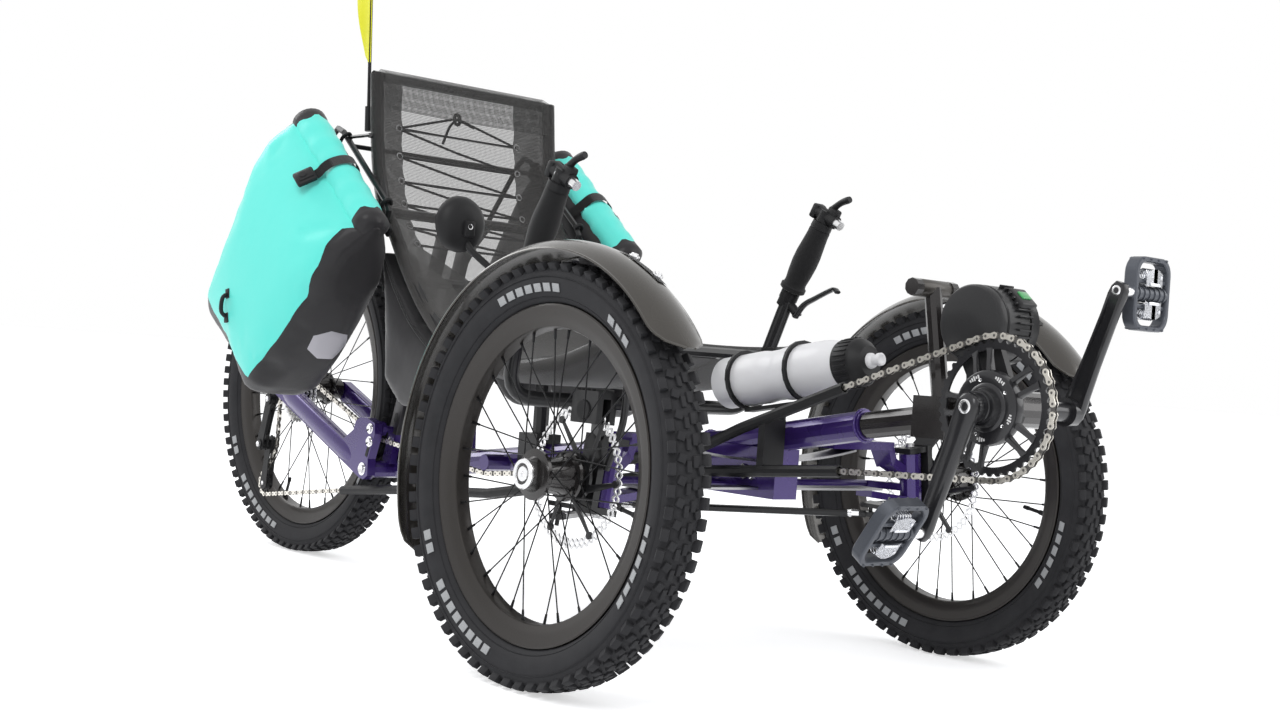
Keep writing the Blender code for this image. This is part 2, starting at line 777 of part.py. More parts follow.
for word, side in sides.items():
    axis = kingpin_axis(side)
    outwards = outboard(side)
    hub_place = front_place(side)

    # Upright on the ends of the springs: kingpin housing, upper arm, foot under the lower spring, link's tab.
    housing = turned(kingpin(side, -housing_length / 2), axis, [(0, housing_radius), (housing_length, housing_radius)])
    pieces = [housing]
    for start, end, halves, thickness, square in upright_links:
        start = x_axis * kingpin_side + Vector(start)
        end = (x_axis * kingpin_side + Vector(end)) if end else (
            kingpin(1, foot_along) + outboard(1) * -foot_in + y_axis * foot_in)
        pieces.append(between(mirrored(side, start), mirrored(side, end), halves, thickness, mirrored(side, square)))
    node(f"upright_{word}", pieces, purple,
         [bore(kingpin(side, -housing_length), kingpin(side, housing_length), kingpin_radius, axle_gap)])

    # Knuckle: ears round the housing, their plate, kingpin, stub axle, steering arm with its stud, caliper.
    ears = [between(kingpin(side, s * ear_centre) - outwards * ear_reach, kingpin(side, s * ear_centre) + outwards * plate_at,
                    (ear_half, ear_half + web_over), ear_thickness, axis) for s in (1, -1)]
    web_end = ear_centre + ear_thickness / 2 + web_over
    web = between(kingpin(side, -web_end) + outwards * plate_at, kingpin(side, web_end) + outwards * plate_at,
                  (knuckle_plate_width / 2, knuckle_plate_width / 2), knuckle_plate, outwards)
    pin = bar(kingpin(side, -ear_centre), kingpin(side, ear_centre), kingpin_radius)
    axle = bar(hub_place @ Vector((side * axle_reach, 0, 0)),
               hub_place @ Vector((side * (kingpin_side + plate_at - track / 2), 0, 0)), axle_radius)
    stud_top = kingpin(side, -ear_centre) + y_axis * steering_arm_length
    arm = between(kingpin(side, -ear_centre), stud_top + y_axis * rod_eye_radius, (ear_half - web_over, rod_eye_radius),
                  steering_arm_thickness, axis)
    stud = bar(stud_top, stud_top - axis * (eye_below + rod_stud_reach), rod_stud_radius, 10)
    rotor_at = -side * rotor_offset
    caliper_place = hub_place @ Matrix.Translation((0, -caliper_forward, caliper_up))
    caliper = moved(block((rotor_at - caliper_width / 2, -caliper_length / 2, -caliper_height / 2),
                          (rotor_at + caliper_width / 2, caliper_length / 2, caliper_height / 2)), caliper_place)
    slot = moved(block((rotor_at - caliper_slot / 2, -caliper_length, -caliper_height),
                       (rotor_at + caliper_slot / 2, caliper_length, caliper_height / 2 - caliper_roof)), caliper_place)
    bracket = between(kingpin(side, ear_centre) + outwards * plate_at,
                      caliper_place @ Vector((rotor_at - side * (caliper_width / 2 - bracket_sink), 0, 0)),
                      (ear_half, ear_half), bracket_thickness, outwards)
    node(f"knuckle_{word}", [web, *ears, pin, axle, arm, stud, caliper, bracket], black_paint, [slot],
         origin=kingpin(side))

    # Mudguard: a crowned strip over the tyre, with the stay that carries it.
    section = []
    for i in range(guard_facets + 1):
        share = i / guard_facets * 2 - 1
        section.append((guard_half * share, guard_radius - guard_drop * share * share))
    section += [(u, r - guard_thickness) for u, r in reversed(section)]
    rings = []
    for i in range(guard_steps + 1):
        turn = math.radians(-guard_front_deg + (guard_front_deg + guard_rear_deg) * i / guard_steps)
        narrow = 1 if i else guard_tip_share
        rings.append([hub_place @ Vector((u * narrow, r * math.sin(turn), r * math.cos(turn))) for u, r in section])
    foot = kingpin(side, stay_foot_along) + outwards * plate_at + y_axis * -(
        knuckle_plate_width / 2 + guard_stay_radius + gap)
    stay = [foot, foot + Vector((0, -stay_forward, stay_rise))]
    ahead = Vector((0, -math.sin(math.radians(stay_ahead_deg)), math.cos(math.radians(stay_ahead_deg))))
    stay += [hub_place @ (x_axis * -side * inboard + ahead * (guard_radius - inside)) for inboard, inside in stay_line]
    node(f"guard_{word}", [loft(rings), tube(rounded(stay, stay_bend, 2), guard_stay_radius, 6)], guard_paint,
         origin=kingpin(side))


def leaf(centre_up, end_up, reach):
    """A leaf spring across the machine, bowed between its clamp and its ends."""
    outline = []
    for i in range(leaf_steps + 1):
        share = i / leaf_steps * 2 - 1
        outline.append((reach * share, centre_up + (end_up - centre_up) * share * share))
    upper = [(x, z + leaf_thickness) for x, z in reversed(outline)]
    ring = [Vector((x, leaf_back - leaf_width / 2, z)) for x, z in outline + upper]
    return loft([ring, [point + y_axis * leaf_width for point in ring]])


node("leaf_spring_upper", [leaf(upper_leaf_up, upper_leaf_end_up, kingpin_side - upper_leaf_inset)], titanium)
node("leaf_spring_lower", [leaf(lower_leaf_up, lower_leaf_up, kingpin_side - lower_leaf_inset)], titanium)


# Frame

def on_frame(share, side=0.0):
    """A place given by its shares of the frame's length."""
    back, up = share
    return Vector((side, frame_length * back, frame_length * up))


def level_at(points, back):
    """Height of a line at a distance back."""
    for first, second in zip(points, points[1:]):
        if back <= second.y:
            break
    return first.z + (second.z - first.z) * (back - first.y) / (second.y - first.y)


def upright_plate(side, outline, thickness):
    """A plate parallel to the middle plane, its outline in (back, up)."""
    return plate(outline, (side, 0, 0), y_axis, z_axis, thickness)


main_points = [on_frame(share) for share in main_line_shares]
pivot = on_frame(pivot_share)
rear_axle = Vector((0, wheelbase, rear_up))
arm_way = (rear_axle - pivot).normalized()
arm_rise = x_axis.cross(arm_way)
cross = pivot + arm_way * cross_along + arm_rise * cross_above
shock_front = on_frame(shock_front_share)
idler_place = on_frame(front_idler_share)
slots = []
for up in (upper_leaf_up, lower_leaf_up):
    slots.append(block((-2 * block_half, leaf_back - leaf_width / 2 - gap, up - gap),
                       (2 * block_half, leaf_back + leaf_width / 2 + gap, up + leaf_thickness + 2 * gap)))
head = bar((0, steerer_back, head_bottom), (0, steerer_back, head_top), head_radius)
cross_tube = bar(pivot - x_axis * pivot_half, pivot + x_axis * pivot_half, pivot_radius)
channels = []
for side in sides.values():
    channels.append(between(*[on_frame(share, side * channel_side) for share in channel_line_shares],
                            (channel_half, channel_half), channel_thickness, x_axis))
ear_foot = level_at(main_points, shock_front.y)
ear_rise = shock_front.z - ear_foot
ear_outline = [(shock_front.y + ear_rise * back, ear_foot + ear_rise * up) for back, up in ear_shares]
shock_ears = [upright_plate(side * (shock_half + gap + shock_ear_thickness / 2), ear_outline, shock_ear_thickness)
              for side in sides.values()]
ear_outer = shock_half + gap + shock_ear_thickness / 2
shock_pin = bar(shock_front - x_axis * ear_outer, shock_front + x_axis * ear_outer, shock_pin_radius)
front_idler = bar(idler_place, idler_place + x_axis * (chain_side - idler_half),
                  idler_radius - chain_half_height - chain_gap)
link_root = Vector((0, link_back, link_up))
links = [bar(link_root, link_root + x_axis * side * (kingpin_side - link_inset), link_radius)
         for side in sides.values()]
node("main_frame", [tube(main_points, tube_radius, 16),
                    block((-block_half, block_front, block_bottom), (block_half, block_back, upper_leaf_up + tube_radius)),
                    head, cross_tube, *channels, *shock_ears, shock_pin, front_idler, *links], purple,
     [*slots, bore((0, steerer_back, head_bottom - cut_over), (0, steerer_back, head_top + cut_over), steerer_radius, axle_gap),
      bar(cross - x_axis * 2 * pivot_half, cross + x_axis * 2 * pivot_half, cross_radius + gap)])

boom_start = main_points[0] + (main_points[0] - main_points[1]).normalized() * boom_gap
boom_end = Vector((0, bracket_back, bracket_up))
post_foot = boom_start.lerp(boom_end, post_foot_share)
post_top = post_foot + y_axis * post_lean + z_axis * post_height
post_way = (post_top - post_foot).normalized()
post_caps = []
for side in sides.values():
    post_caps.append(bar(post_top + x_axis * side * (post_bar_half - post_cap_length / 2),
                         post_top + x_axis * side * (post_bar_half + post_cap_length / 2), post_radius))
node("boom", [bar(boom_start, boom_end, boom_radius, 16),
              bar(boom_end - x_axis * bracket_half, boom_end + x_axis * bracket_half, bracket_radius, 16),
              moved(block((-post_clamp_half, -post_clamp_half, -post_clamp_half),
                          (post_clamp_half, post_clamp_half, post_clamp_half)), Matrix.Translation(post_foot)),
              bar(post_foot, post_top, post_radius),
              bar(post_top - x_axis * post_bar_half, post_top + x_axis * post_bar_half, post_bar_radius), *post_caps],
     black_paint, [bore(boom_end - x_axis * crank_side, boom_end + x_axis * crank_side, spindle_radius, axle_gap)])

arm_length = (rear_axle - pivot).length
arm_outline = [pivot + arm_way * arm_length * share + arm_rise * arm_length * above for share, above in arm_shares]
arm_outline = [(point.y, point.z) for point in arm_outline]
node("swingarm", [*[upright_plate(side * dropout_half, arm_outline, arm_thickness) for side in sides.values()],
                  bar(rear_axle - x_axis * dropout_half, rear_axle + x_axis * dropout_half, axle_radius / 2),
                  bar(cross - x_axis * dropout_half, cross + x_axis * dropout_half, cross_radius),
                  bar(cross + x_axis * (rear_idler_side - idler_half), cross + x_axis * (rear_idler_side + idler_half),
                      idler_radius - chain_half_height - chain_gap)], purple)

shock_way = (cross - shock_front).normalized()
shock_length = (cross - shock_front).length
node("shock", [turned(shock_front, shock_way, [(along * shock_length, thick * shock_radius) for along, thick in shock_shares], 12),
               bar(shock_front - x_axis * shock_half, shock_front + x_axis * shock_half, shock_eye_radius),
               bar(cross - x_axis * shock_half, cross + x_axis * shock_half, shock_eye_radius)], black_paint,
     [bar(shock_front - x_axis * tube_radius, shock_front + x_axis * tube_radius, shock_pin_radius + gap),
      bar(cross - x_axis * tube_radius, cross + x_axis * tube_radius, cross_radius + gap)])


# Handlebar and steering rods

bar_centre = Vector((0, steerer_back, bar_level))
left_half = [bar_centre + Vector(point) for point in bar_line]
whole_bar = [mirrored(-1, point) for point in reversed(left_half)] + left_half[1:]
crank_pin = Vector((0, steerer_back + steering_arm_length, crank_level))
bar_shapes = [tube(rounded(whole_bar, bar_bend, 3), bar_radius, 10),
              bar((0, steerer_back, crank_level), (0, steerer_back, bar_level), steerer_radius),
              between((0, steerer_back - crank_width / 2, crank_level), crank_pin + y_axis * crank_width / 2,
                      (crank_width / 2, crank_width / 2), crank_plate, z_axis),
              bar(crank_pin, crank_pin - z_axis * crank_pin_length, rod_stud_radius, 10)]
grip_bend, grip_top = left_half[-2], left_half[-1]
grip_way = (grip_top - grip_bend).normalized()
for word, side in sides.items():
    way = mirrored(side, grip_way)
    grip_foot = mirrored(side, grip_bend) + way * grip_start
    node(f"grip_{word}", [bar(grip_foot, grip_foot + way * grip_length, grip_radius)], foam,
         [bar(grip_foot - way * grip_length, grip_foot + way * grip_length * 2, bar_radius + gap)], origin=bar_centre)
    pod = mirrored(side, grip_top)
    bar_shapes.append(bar(pod - way * pod_sink, pod + way * pod_length, pod_radius))
    bar_shapes.append(tube([mirrored(side, bar_centre + Vector(point)) for point in lever_line], lever_radius, 8))
node("handlebar", bar_shapes, black_paint, origin=bar_centre)
node("mirror", [tube([bar_centre + Vector(point) for point in mirror_line], mirror_arm_radius, 8),
                turned(bar_centre + Vector(mirror_centre) - y_axis * mirror_thickness / 2, y_axis,
                       [(0, mirror_radius - mirror_thickness / 2), (mirror_thickness / 2, mirror_radius),
                        (mirror_thickness, mirror_radius)], 20)], plastic, origin=bar_centre)

for word, side in sides.items():
    inner = Vector((0, crank_pin.y, rod_level if side > 0 else rod_level - rod_drop))
    outer = kingpin(side, -ear_centre) + y_axis * steering_arm_length - kingpin_axis(side) * eye_below
    eyes = [bar(end - z_axis * rod_eye_height / 2, end + z_axis * rod_eye_height / 2, rod_eye_radius)
            for end in (inner, outer)]
    way = (outer - inner).normalized()
    holes = [bore(end - z_axis * rod_eye_radius * 2, end + z_axis * rod_eye_radius * 2, rod_stud_radius, play)
             for end, play in ((inner, axle_gap), (outer, rod_stud_play))]
    node(f"steering_rod_{word}", [*eyes, bar(inner + way * rod_inset, outer - way * rod_inset, rod_radius, 10)],
         black_paint, holes, origin=inner)


# Drive

def belt(stops):
    """The closed line round pulleys and through guides, from (side, back, up, radius, sense) stops."""
    flats = [Vector((back, up)) for _, back, up, _, _ in stops]
    ends = []
    for i, (first, second) in enumerate(zip(stops, stops[1:] + stops[:1])):
        apart = flats[(i + 1) % len(stops)] - flats[i]
        lift = second[4] * second[3] - first[4] * first[3]
        turn = math.asin(lift / apart.length)
        way = Vector((apart.x * math.cos(turn) + apart.y * math.sin(turn),
                      apart.y * math.cos(turn) - apart.x * math.sin(turn))).normalized()
        left = Vector((-way.y, way.x))
        ends.append((flats[i] - left * first[4] * first[3],
                     flats[(i + 1) % len(stops)] - left * second[4] * second[3]))
    line = []
    for i, (side, back, up, radius, sense) in enumerate(stops):
        arrive, leave = ends[i - 1][1], ends[i][0]
        if not radius:
            line.append(Vector((side, back, up)))
            continue
        start = math.atan2(arrive.y - up, arrive.x - back)
        sweep = (math.atan2(leave.y - up, leave.x - back) - start) * sense % math.tau
        steps = max(2, round(sweep * radius / chain_step), math.ceil(sweep / math.radians(chain_turn_deg)))
        for j in range(steps + 1):
            turn = start + sense * sweep * j / steps
            line.append(Vector((side, back + radius * math.cos(turn), up + radius * math.sin(turn))))
    return line


def stop_at(place, radius=0.0, sense=1):
    return (*place, radius, sense)


guide = rear_axle + Vector((cog_side, guide_behind, -guide_below))
tension = rear_axle + Vector((cog_side, tension_behind, -tension_below))
upper_line = [on_frame(share, chain_side) for share in upper_tube_shares]
lower_line = [on_frame(share, chain_side) for share in lower_tube_shares]
chain_line = belt([
    stop_at(boom_end + x_axis * chain_side, chainring_radius, -1),
    *[stop_at(point) for point in upper_line],
    stop_at(idler_place + x_axis * chain_side, idler_radius, 1),
    stop_at(cross + x_axis * rear_idler_side, idler_radius, 1),
    stop_at(rear_axle + x_axis * cog_side, cog_radius, -1),
    stop_at(guide, pulley_radius, 1),
    stop_at(tension, pulley_radius, -1),
    *[stop_at(point) for point in reversed(lower_line)],
])
chain_rings = []
for i, point in enumerate(chain_line):
    way = (chain_line[(i + 1) % len(chain_line)] - chain_line[i - 1]).normalized()
    high = x_axis.cross(way).normalized() * chain_half_height
    wide = x_axis * chain_half_width
    chain_rings.append([point + wide + high, point - wide + high, point - wide - high, point + wide - high])
node("chain", [loft(chain_rings, closed=True)], steel)

tubes, bores = [], []
for points in (upper_line, lower_line):
    tubes.append(tube(points, chain_tube_radius, 10))
    bores.append(tube([points[0] * 2 - points[1], *points[1:-1], points[-1] * 2 - points[-2]], chain_tube_bore, 8))
hanger = block((chain_side - chain_tube_radius / 2, hanger_back - hanger_length / 2, level_at(lower_line, hanger_back)),
               (-tube_radius - gap, hanger_back + hanger_length / 2, level_at(upper_line, hanger_back)))
node("chain_tubes", [*tubes, hanger], plastic, bores)

mech = rear_axle + Vector((-mech_side, mech_behind, -mech_below))
cage = []
for offset in (cage_half, -cage_half):
    cage.append(between(guide + x_axis * offset, tension + x_axis * offset, (cage_plate_half, cage_plate_half),
                        cage_plate, x_axis))
pulleys = [bar(at - x_axis * cage_half, at + x_axis * cage_half, pulley_radius - chain_half_height - chain_gap)
           for at in (guide, tension)]
mech_end = Vector((-mech_side, guide.y, guide.z))
node("derailleur", [*cage, *pulleys, between(mech, mech_end, (mech_root_half, mech_tip_half), mech_thickness, x_axis),
                    bar(mech_end - x_axis * mech_thickness / 2, guide, mech_pin_radius),
                    bar(mech - x_axis * mech_thickness, mech + x_axis * mech_thickness / 2, mech_pin_radius)], plastic)

bracket_centre = boom_end
crank_turn = math.radians(crank_turn_deg)
crank_way = Vector((0, math.sin(crank_turn), math.cos(crank_turn)))
crank_shapes = [bar(bracket_centre - x_axis * crank_side, bracket_centre + x_axis * crank_side, spindle_radius)]
for side in sides.values():
    root = bracket_centre + x_axis * side * crank_side
    tip = root - crank_way * side * crank_length
    crank_shapes.append(between(root + crank_way * side * crank_root_half, tip - crank_way * side * crank_tip_half,
                                (crank_root_half, crank_tip_half), crank_thickness, x_axis))
    crank_shapes.append(bar(tip, tip + x_axis * side * (pedal_side + pedal_spindle_reach - crank_side),
                            pedal_spindle_radius))
ring_outer = chainring_radius - chain_half_height - chain_gap
ring_edge = chainring_thickness / 2
crank_shapes.append(moved(hoop([(chain_side - ring_edge, ring_outer), (chain_side + ring_edge, ring_outer),
                                (chain_side + ring_edge, ring_outer - chainring_depth),
                                (chain_side - ring_edge, ring_outer - chainring_depth)], chainring_steps),
                          Matrix.Translation(bracket_centre)))
crank_shapes.append(bar(bracket_centre + x_axis * (chain_side + spider_thickness), bracket_centre - x_axis * crank_side,
                        boss_radius, 16))
for i in range(spider_arms):
    turn = math.tau * i / spider_arms
    away = Vector((0, math.sin(turn), math.cos(turn)))
    crank_shapes.append(between(bracket_centre + x_axis * chain_side,
                                bracket_centre + x_axis * chain_side + away * (ring_outer - chainring_depth / 2),
                                (spider_arm_half, spider_arm_half), spider_thickness, x_axis))
node("crankset", crank_shapes, black_paint, origin=bracket_centre)

for word, side in sides.items():
    spindle = bracket_centre + x_axis * side * pedal_side - crank_way * side * crank_length
    lay = Matrix.Translation(spindle) @ Matrix.Rotation(math.radians(pedal_turns_deg[word]), 4, "X")
    half = Vector((pedal_width / 2, pedal_thickness / 2, pedal_length / 2))
    window = Vector((half.x - pedal_wall, pedal_length, half.z - pedal_wall))
    windows = [block((-window.x, -window.y, s * pedal_wall + (0 if s > 0 else -window.z + pedal_wall)),
                     (window.x, window.y, s * pedal_wall + (window.z - pedal_wall if s > 0 else 0))) for s in (1, -1)]
    pedal_bore = bore((-side * pedal_width, 0, 0), (side * (pedal_spindle_reach + axle_gap), 0, 0),
                      pedal_spindle_radius, axle_gap)
    node(f"pedal_{word}", [block(-half, half)], plastic, [*windows, pedal_bore], place=lay)


# Drive unit, bottle and its cage

motor_centre = bracket_centre + Vector((0, motor_behind, motor_above))
plate_near = x_axis * -(motor_right - motor_plate_thickness / 2)
node("motor", [turned(motor_centre + x_axis * motor_left, -x_axis,
                      [(0, motor_radius - motor_round), (motor_round, motor_radius),
                       (motor_left + motor_right - motor_round, motor_radius),
                       (motor_left + motor_right, motor_radius - motor_round)], 18),
               between(motor_centre + plate_near, bracket_centre + plate_near, (motor_radius - motor_round, motor_plate_radius),
                       motor_plate_thickness - gap, x_axis),
               bar(bracket_centre + plate_near - x_axis * motor_plate_thickness / 2,
                   bracket_centre + plate_near + x_axis * motor_plate_thickness / 2, motor_plate_radius, 20)], black_paint,
     [bar(bracket_centre - x_axis * crank_side, bracket_centre, spindle_radius + spindle_clear)])

bottle_foot = Vector((0, bottle_back, bottle_up))
bottle_way = Vector((0, -1, bottle_slope_share)).normalized()
bottle_profile = [(bottle_length * along, bottle_radius * thick) for along, thick in bottle_shares]
node("bottle", [turned(bottle_foot, bottle_way, bottle_profile, 16)], white)
cage_frame = Matrix.Translation(bottle_foot) @ bottle_way.to_track_quat("X", "Z").to_matrix().to_4x4()
cage_rings = []
for along in cage_hoops:
    inner_radius = bottle_radius + cage_clear
    cage_rings.append(hoop([(along, inner_radius), (along + cage_wire * 2, inner_radius),
                            (along + cage_wire * 2, inner_radius + cage_wire * 2), (along, inner_radius + cage_wire * 2)],
                           20, lambda point: cage_frame @ point))
spine_low = -(bottle_radius + cage_clear + cage_wire)
spine = moved(block((cage_hoops[0] + cage_wire, -cage_spine_half, spine_low - cage_wire * 2),
                    (cage_hoops[-1] + cage_wire, cage_spine_half, spine_low)),
              cage_frame)
cage_top = cage_frame @ Vector((cage_foot_along, 0, spine_low - cage_wire / 2))
cage_foot = bar(cage_top, (0, cage_top.y, level_at(main_points, cage_top.y)), cage_foot_radius)
node("bottle_cage", [*cage_rings, spine, cage_foot], plastic, [tube(main_points, tube_radius + gap, 16)])


# Seat

seat_points = [on_frame(share) for share in seat_line_shares]


def seat_normal(i):
    """Square to the seat's line there, towards the back of the seat."""
    way = (seat_points[min(i + 1, len(seat_points) - 1)] - seat_points[max(i - 1, 0)]).normalized()
    return Vector((0, -way.z, way.y))


seat_shapes = []
for side in sides.values():
    seat_shapes.append(tube([point + x_axis * side * seat_half for point in seat_points], seat_tube_radius, 8))
for i in seat_bars:
    behind = seat_points[i] + seat_normal(i) * seat_bar_drop
    seat_shapes.append(bar(behind - x_axis * seat_half, behind + x_axis * seat_half, seat_bar_radius, 8))
stem_bar = seat_points[stem_bar_index] + seat_normal(stem_bar_index) * seat_bar_drop
stem_foot = Vector((0, stem_bar.y, level_at(main_points, stem_bar.y) + stem_foot_rise))
seat_shapes.append(bar(stem_bar, stem_foot, seat_stem_radius))
seat_shapes.append(moved(block((-seat_saddle_half, -seat_saddle_half, -seat_saddle_half),
                               (seat_saddle_half, seat_saddle_half, seat_saddle_half)), Matrix.Translation(stem_foot)))
link_bar = seat_points[link_bar_index] + seat_normal(link_bar_index) * seat_bar_drop
link_side = channel_side + channel_thickness / 2 + gap + seat_link_thickness / 2
for side in sides.values():
    seat_shapes.append(between(link_bar + x_axis * side * link_side,
                               on_frame(channel_line_shares[-1], side * link_side) - z_axis * channel_half,
                               (seat_link_half, seat_link_half), seat_link_thickness, x_axis))
node("seat_frame", seat_shapes, black_paint, [tube(main_points, tube_radius + gap, 16)])

sling_half = seat_half - seat_tube_radius - gap
sling_rings = []
for i in range(sling_from, len(seat_points)):
    ring = []
    for across_share, lift in ((-1, -1), (1, -1), (1, 1), (-1, 1)):
        ring.append(seat_points[i] + x_axis * across_share * sling_half + seat_normal(i) * (lift * sling_thickness / 2))
    sling_rings.append(ring)
node("seat_sling", [loft(sling_rings)], mesh_cloth)

# The bags' top edge runs just under the cross tubes that they hang from.
side_bag_outline = [tuple(on_frame(share).yz) for share in side_bag_shares]
for i in side_bag_rows:
    under = seat_points[i] + seat_normal(i) * (seat_bar_drop + seat_bar_radius + side_bag_gap)
    side_bag_outline.append((under.y, under.z))
for word, side in sides.items():
    middle = side * (side_bag_inner + side_bag_outer) / 2
    node(f"side_bag_{word}", [upright_plate(middle, side_bag_outline, side_bag_outer - side_bag_inner)], bag_black)


# Rack, panniers, mast and flag

tilt = math.radians(pannier_tilt_deg)
pannier_along = Vector((0, math.cos(tilt), math.sin(tilt)))
pannier_rise = Vector((0, -math.sin(tilt), math.cos(tilt)))
stubs = [seat_points[row].lerp(seat_points[row + 1], share) for row, share in rack_stub_shares]
pannier_centre = stubs[0] - pannier_along * rack_hang_along - pannier_rise * rack_top


def on_pannier(side, along, rise):
    return pannier_centre + x_axis * side + pannier_along * along + pannier_rise * rise


rack_shapes = []
rack_outline = [(rack_front, rack_top), (rack_rear, rack_top), (rack_rear, rack_foot), (rack_front, rack_foot)]
rack_start = (rack_front, (rack_top + rack_foot) / 2)
rack_strut_along = (stubs[-1].z - pannier_centre.z - pannier_rise.z * rack_top) / pannier_along.z
for side in sides.values():
    corners = [on_pannier(side * rack_side, along, rise) for along, rise in [rack_start, *rack_outline, rack_start]]
    rack_shapes.append(loop(rounded(corners, rack_bend, 2)[:-1], x_axis, rack_radius))
    for stub in stubs:
        rack_shapes.append(bar(stub + x_axis * side * (seat_half + seat_tube_radius + gap),
                               stub + x_axis * side * rack_side, rack_radius - rack_over / 2, 8))
    strut = on_pannier(side * rack_side, rack_strut_along, rack_top)
    rack_shapes.append(bar(strut, (side * rack_side, stubs[-1].y - rack_radius, strut.z), rack_radius - rack_over, 8))
high = on_pannier(0, rack_cross_along, rack_top)
rack_shapes.append(bar(high - x_axis * rack_side, high + x_axis * rack_side, rack_radius - rack_over / 2, 8))
node("rack", rack_shapes, black_paint)

for word, side in sides.items():
    rings = []
    for rise_share, half_share, near_share, far_share in pannier_shares:
        depth = pannier_outer - pannier_inner
        rise, half = pannier_height * rise_share, pannier_half_length * half_share
        low, high_side = pannier_inner + depth * near_share, pannier_outer - depth * far_share
        cut = min(pannier_chamfer, (high_side - low) / 3)
        ring = [(low, cut - half), (low + cut, -half), (high_side - cut, -half), (high_side, cut - half),
                (high_side, half - cut), (high_side - cut, half), (low + cut, half), (low, half - cut)]
        rings.append([on_pannier(side * across_side, along, rise) for across_side, along in ring])
    node(f"pannier_{word}", [loft(rings)], mint)

# The mast passes the end of the seat's top cross tube.
top_bar = seat_points[0] + seat_normal(0) * seat_bar_drop
mast_way = Vector((0, mast_lean_share, 1)).normalized()
mast_foot = top_bar + Vector((-mast_side, mast_behind, 0)) - mast_way * mast_below
mast_head = mast_foot + mast_way * ((mast_top - front_up - mast_foot.z) / mast_way.z)
node("flag_mast", [bar(mast_foot, mast_head, mast_radius, 8),
                   bar(mast_foot - mast_way * mast_socket_radius, mast_foot + mast_way * mast_socket_length,
                       mast_socket_radius, 10)], plastic)
flag_foot = mast_head - mast_way * (flag_drop + flag_length)
flag_shape = [flag_foot + mast_way * flag_length * up + y_axis * flag_width * off for off, up in flag_shares]
node("flag", [upright_plate(-mast_side, [tuple(point.yz) for point in flag_shape], flag_thickness)], yellow)
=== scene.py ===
"""Looks of the recumbent trike: finishes, tyres, wheels, drive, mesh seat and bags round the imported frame."""

import json
import math

import bmesh
import bpy
from mathutils import Matrix, Vector
from mathutils.bvhtree import BVHTree


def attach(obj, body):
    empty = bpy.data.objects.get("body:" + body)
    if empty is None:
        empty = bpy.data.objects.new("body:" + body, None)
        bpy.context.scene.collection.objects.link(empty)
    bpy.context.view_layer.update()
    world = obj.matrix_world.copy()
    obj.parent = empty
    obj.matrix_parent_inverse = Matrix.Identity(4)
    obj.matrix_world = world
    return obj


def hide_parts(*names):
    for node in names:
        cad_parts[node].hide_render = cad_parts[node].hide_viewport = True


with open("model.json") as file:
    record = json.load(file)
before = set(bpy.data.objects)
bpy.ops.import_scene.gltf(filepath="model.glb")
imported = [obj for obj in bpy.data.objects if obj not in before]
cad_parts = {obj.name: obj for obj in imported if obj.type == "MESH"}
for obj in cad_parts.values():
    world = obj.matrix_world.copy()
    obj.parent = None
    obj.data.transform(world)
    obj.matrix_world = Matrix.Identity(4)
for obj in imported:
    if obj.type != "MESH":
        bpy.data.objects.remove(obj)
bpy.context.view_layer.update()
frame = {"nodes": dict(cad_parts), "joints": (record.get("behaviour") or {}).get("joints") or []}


# Main frame: welded steel tubes with a clamped block for the leaf springs, powder coated in a dark violet
# with fine metal flakes under clear lacquer. The swing arm and the two uprights have the same coat.

class Number:
    """A value that changes over a surface. Python's operators add its Math nodes."""

    def __init__(self, finish, socket):
        self.finish, self.socket = finish, socket

    def maths(self, operation, first, second=0.0):
        return self.finish.number("ShaderNodeMath", {"operation": operation}, first, second)

    def __add__(self, other):
        return self.maths("ADD", self, other)

    def __sub__(self, other):
        return self.maths("SUBTRACT", self, other)

    def __mul__(self, other):
        return self.maths("MULTIPLY", self, other)

    def __gt__(self, other):
        return self.maths("GREATER_THAN", self, other)


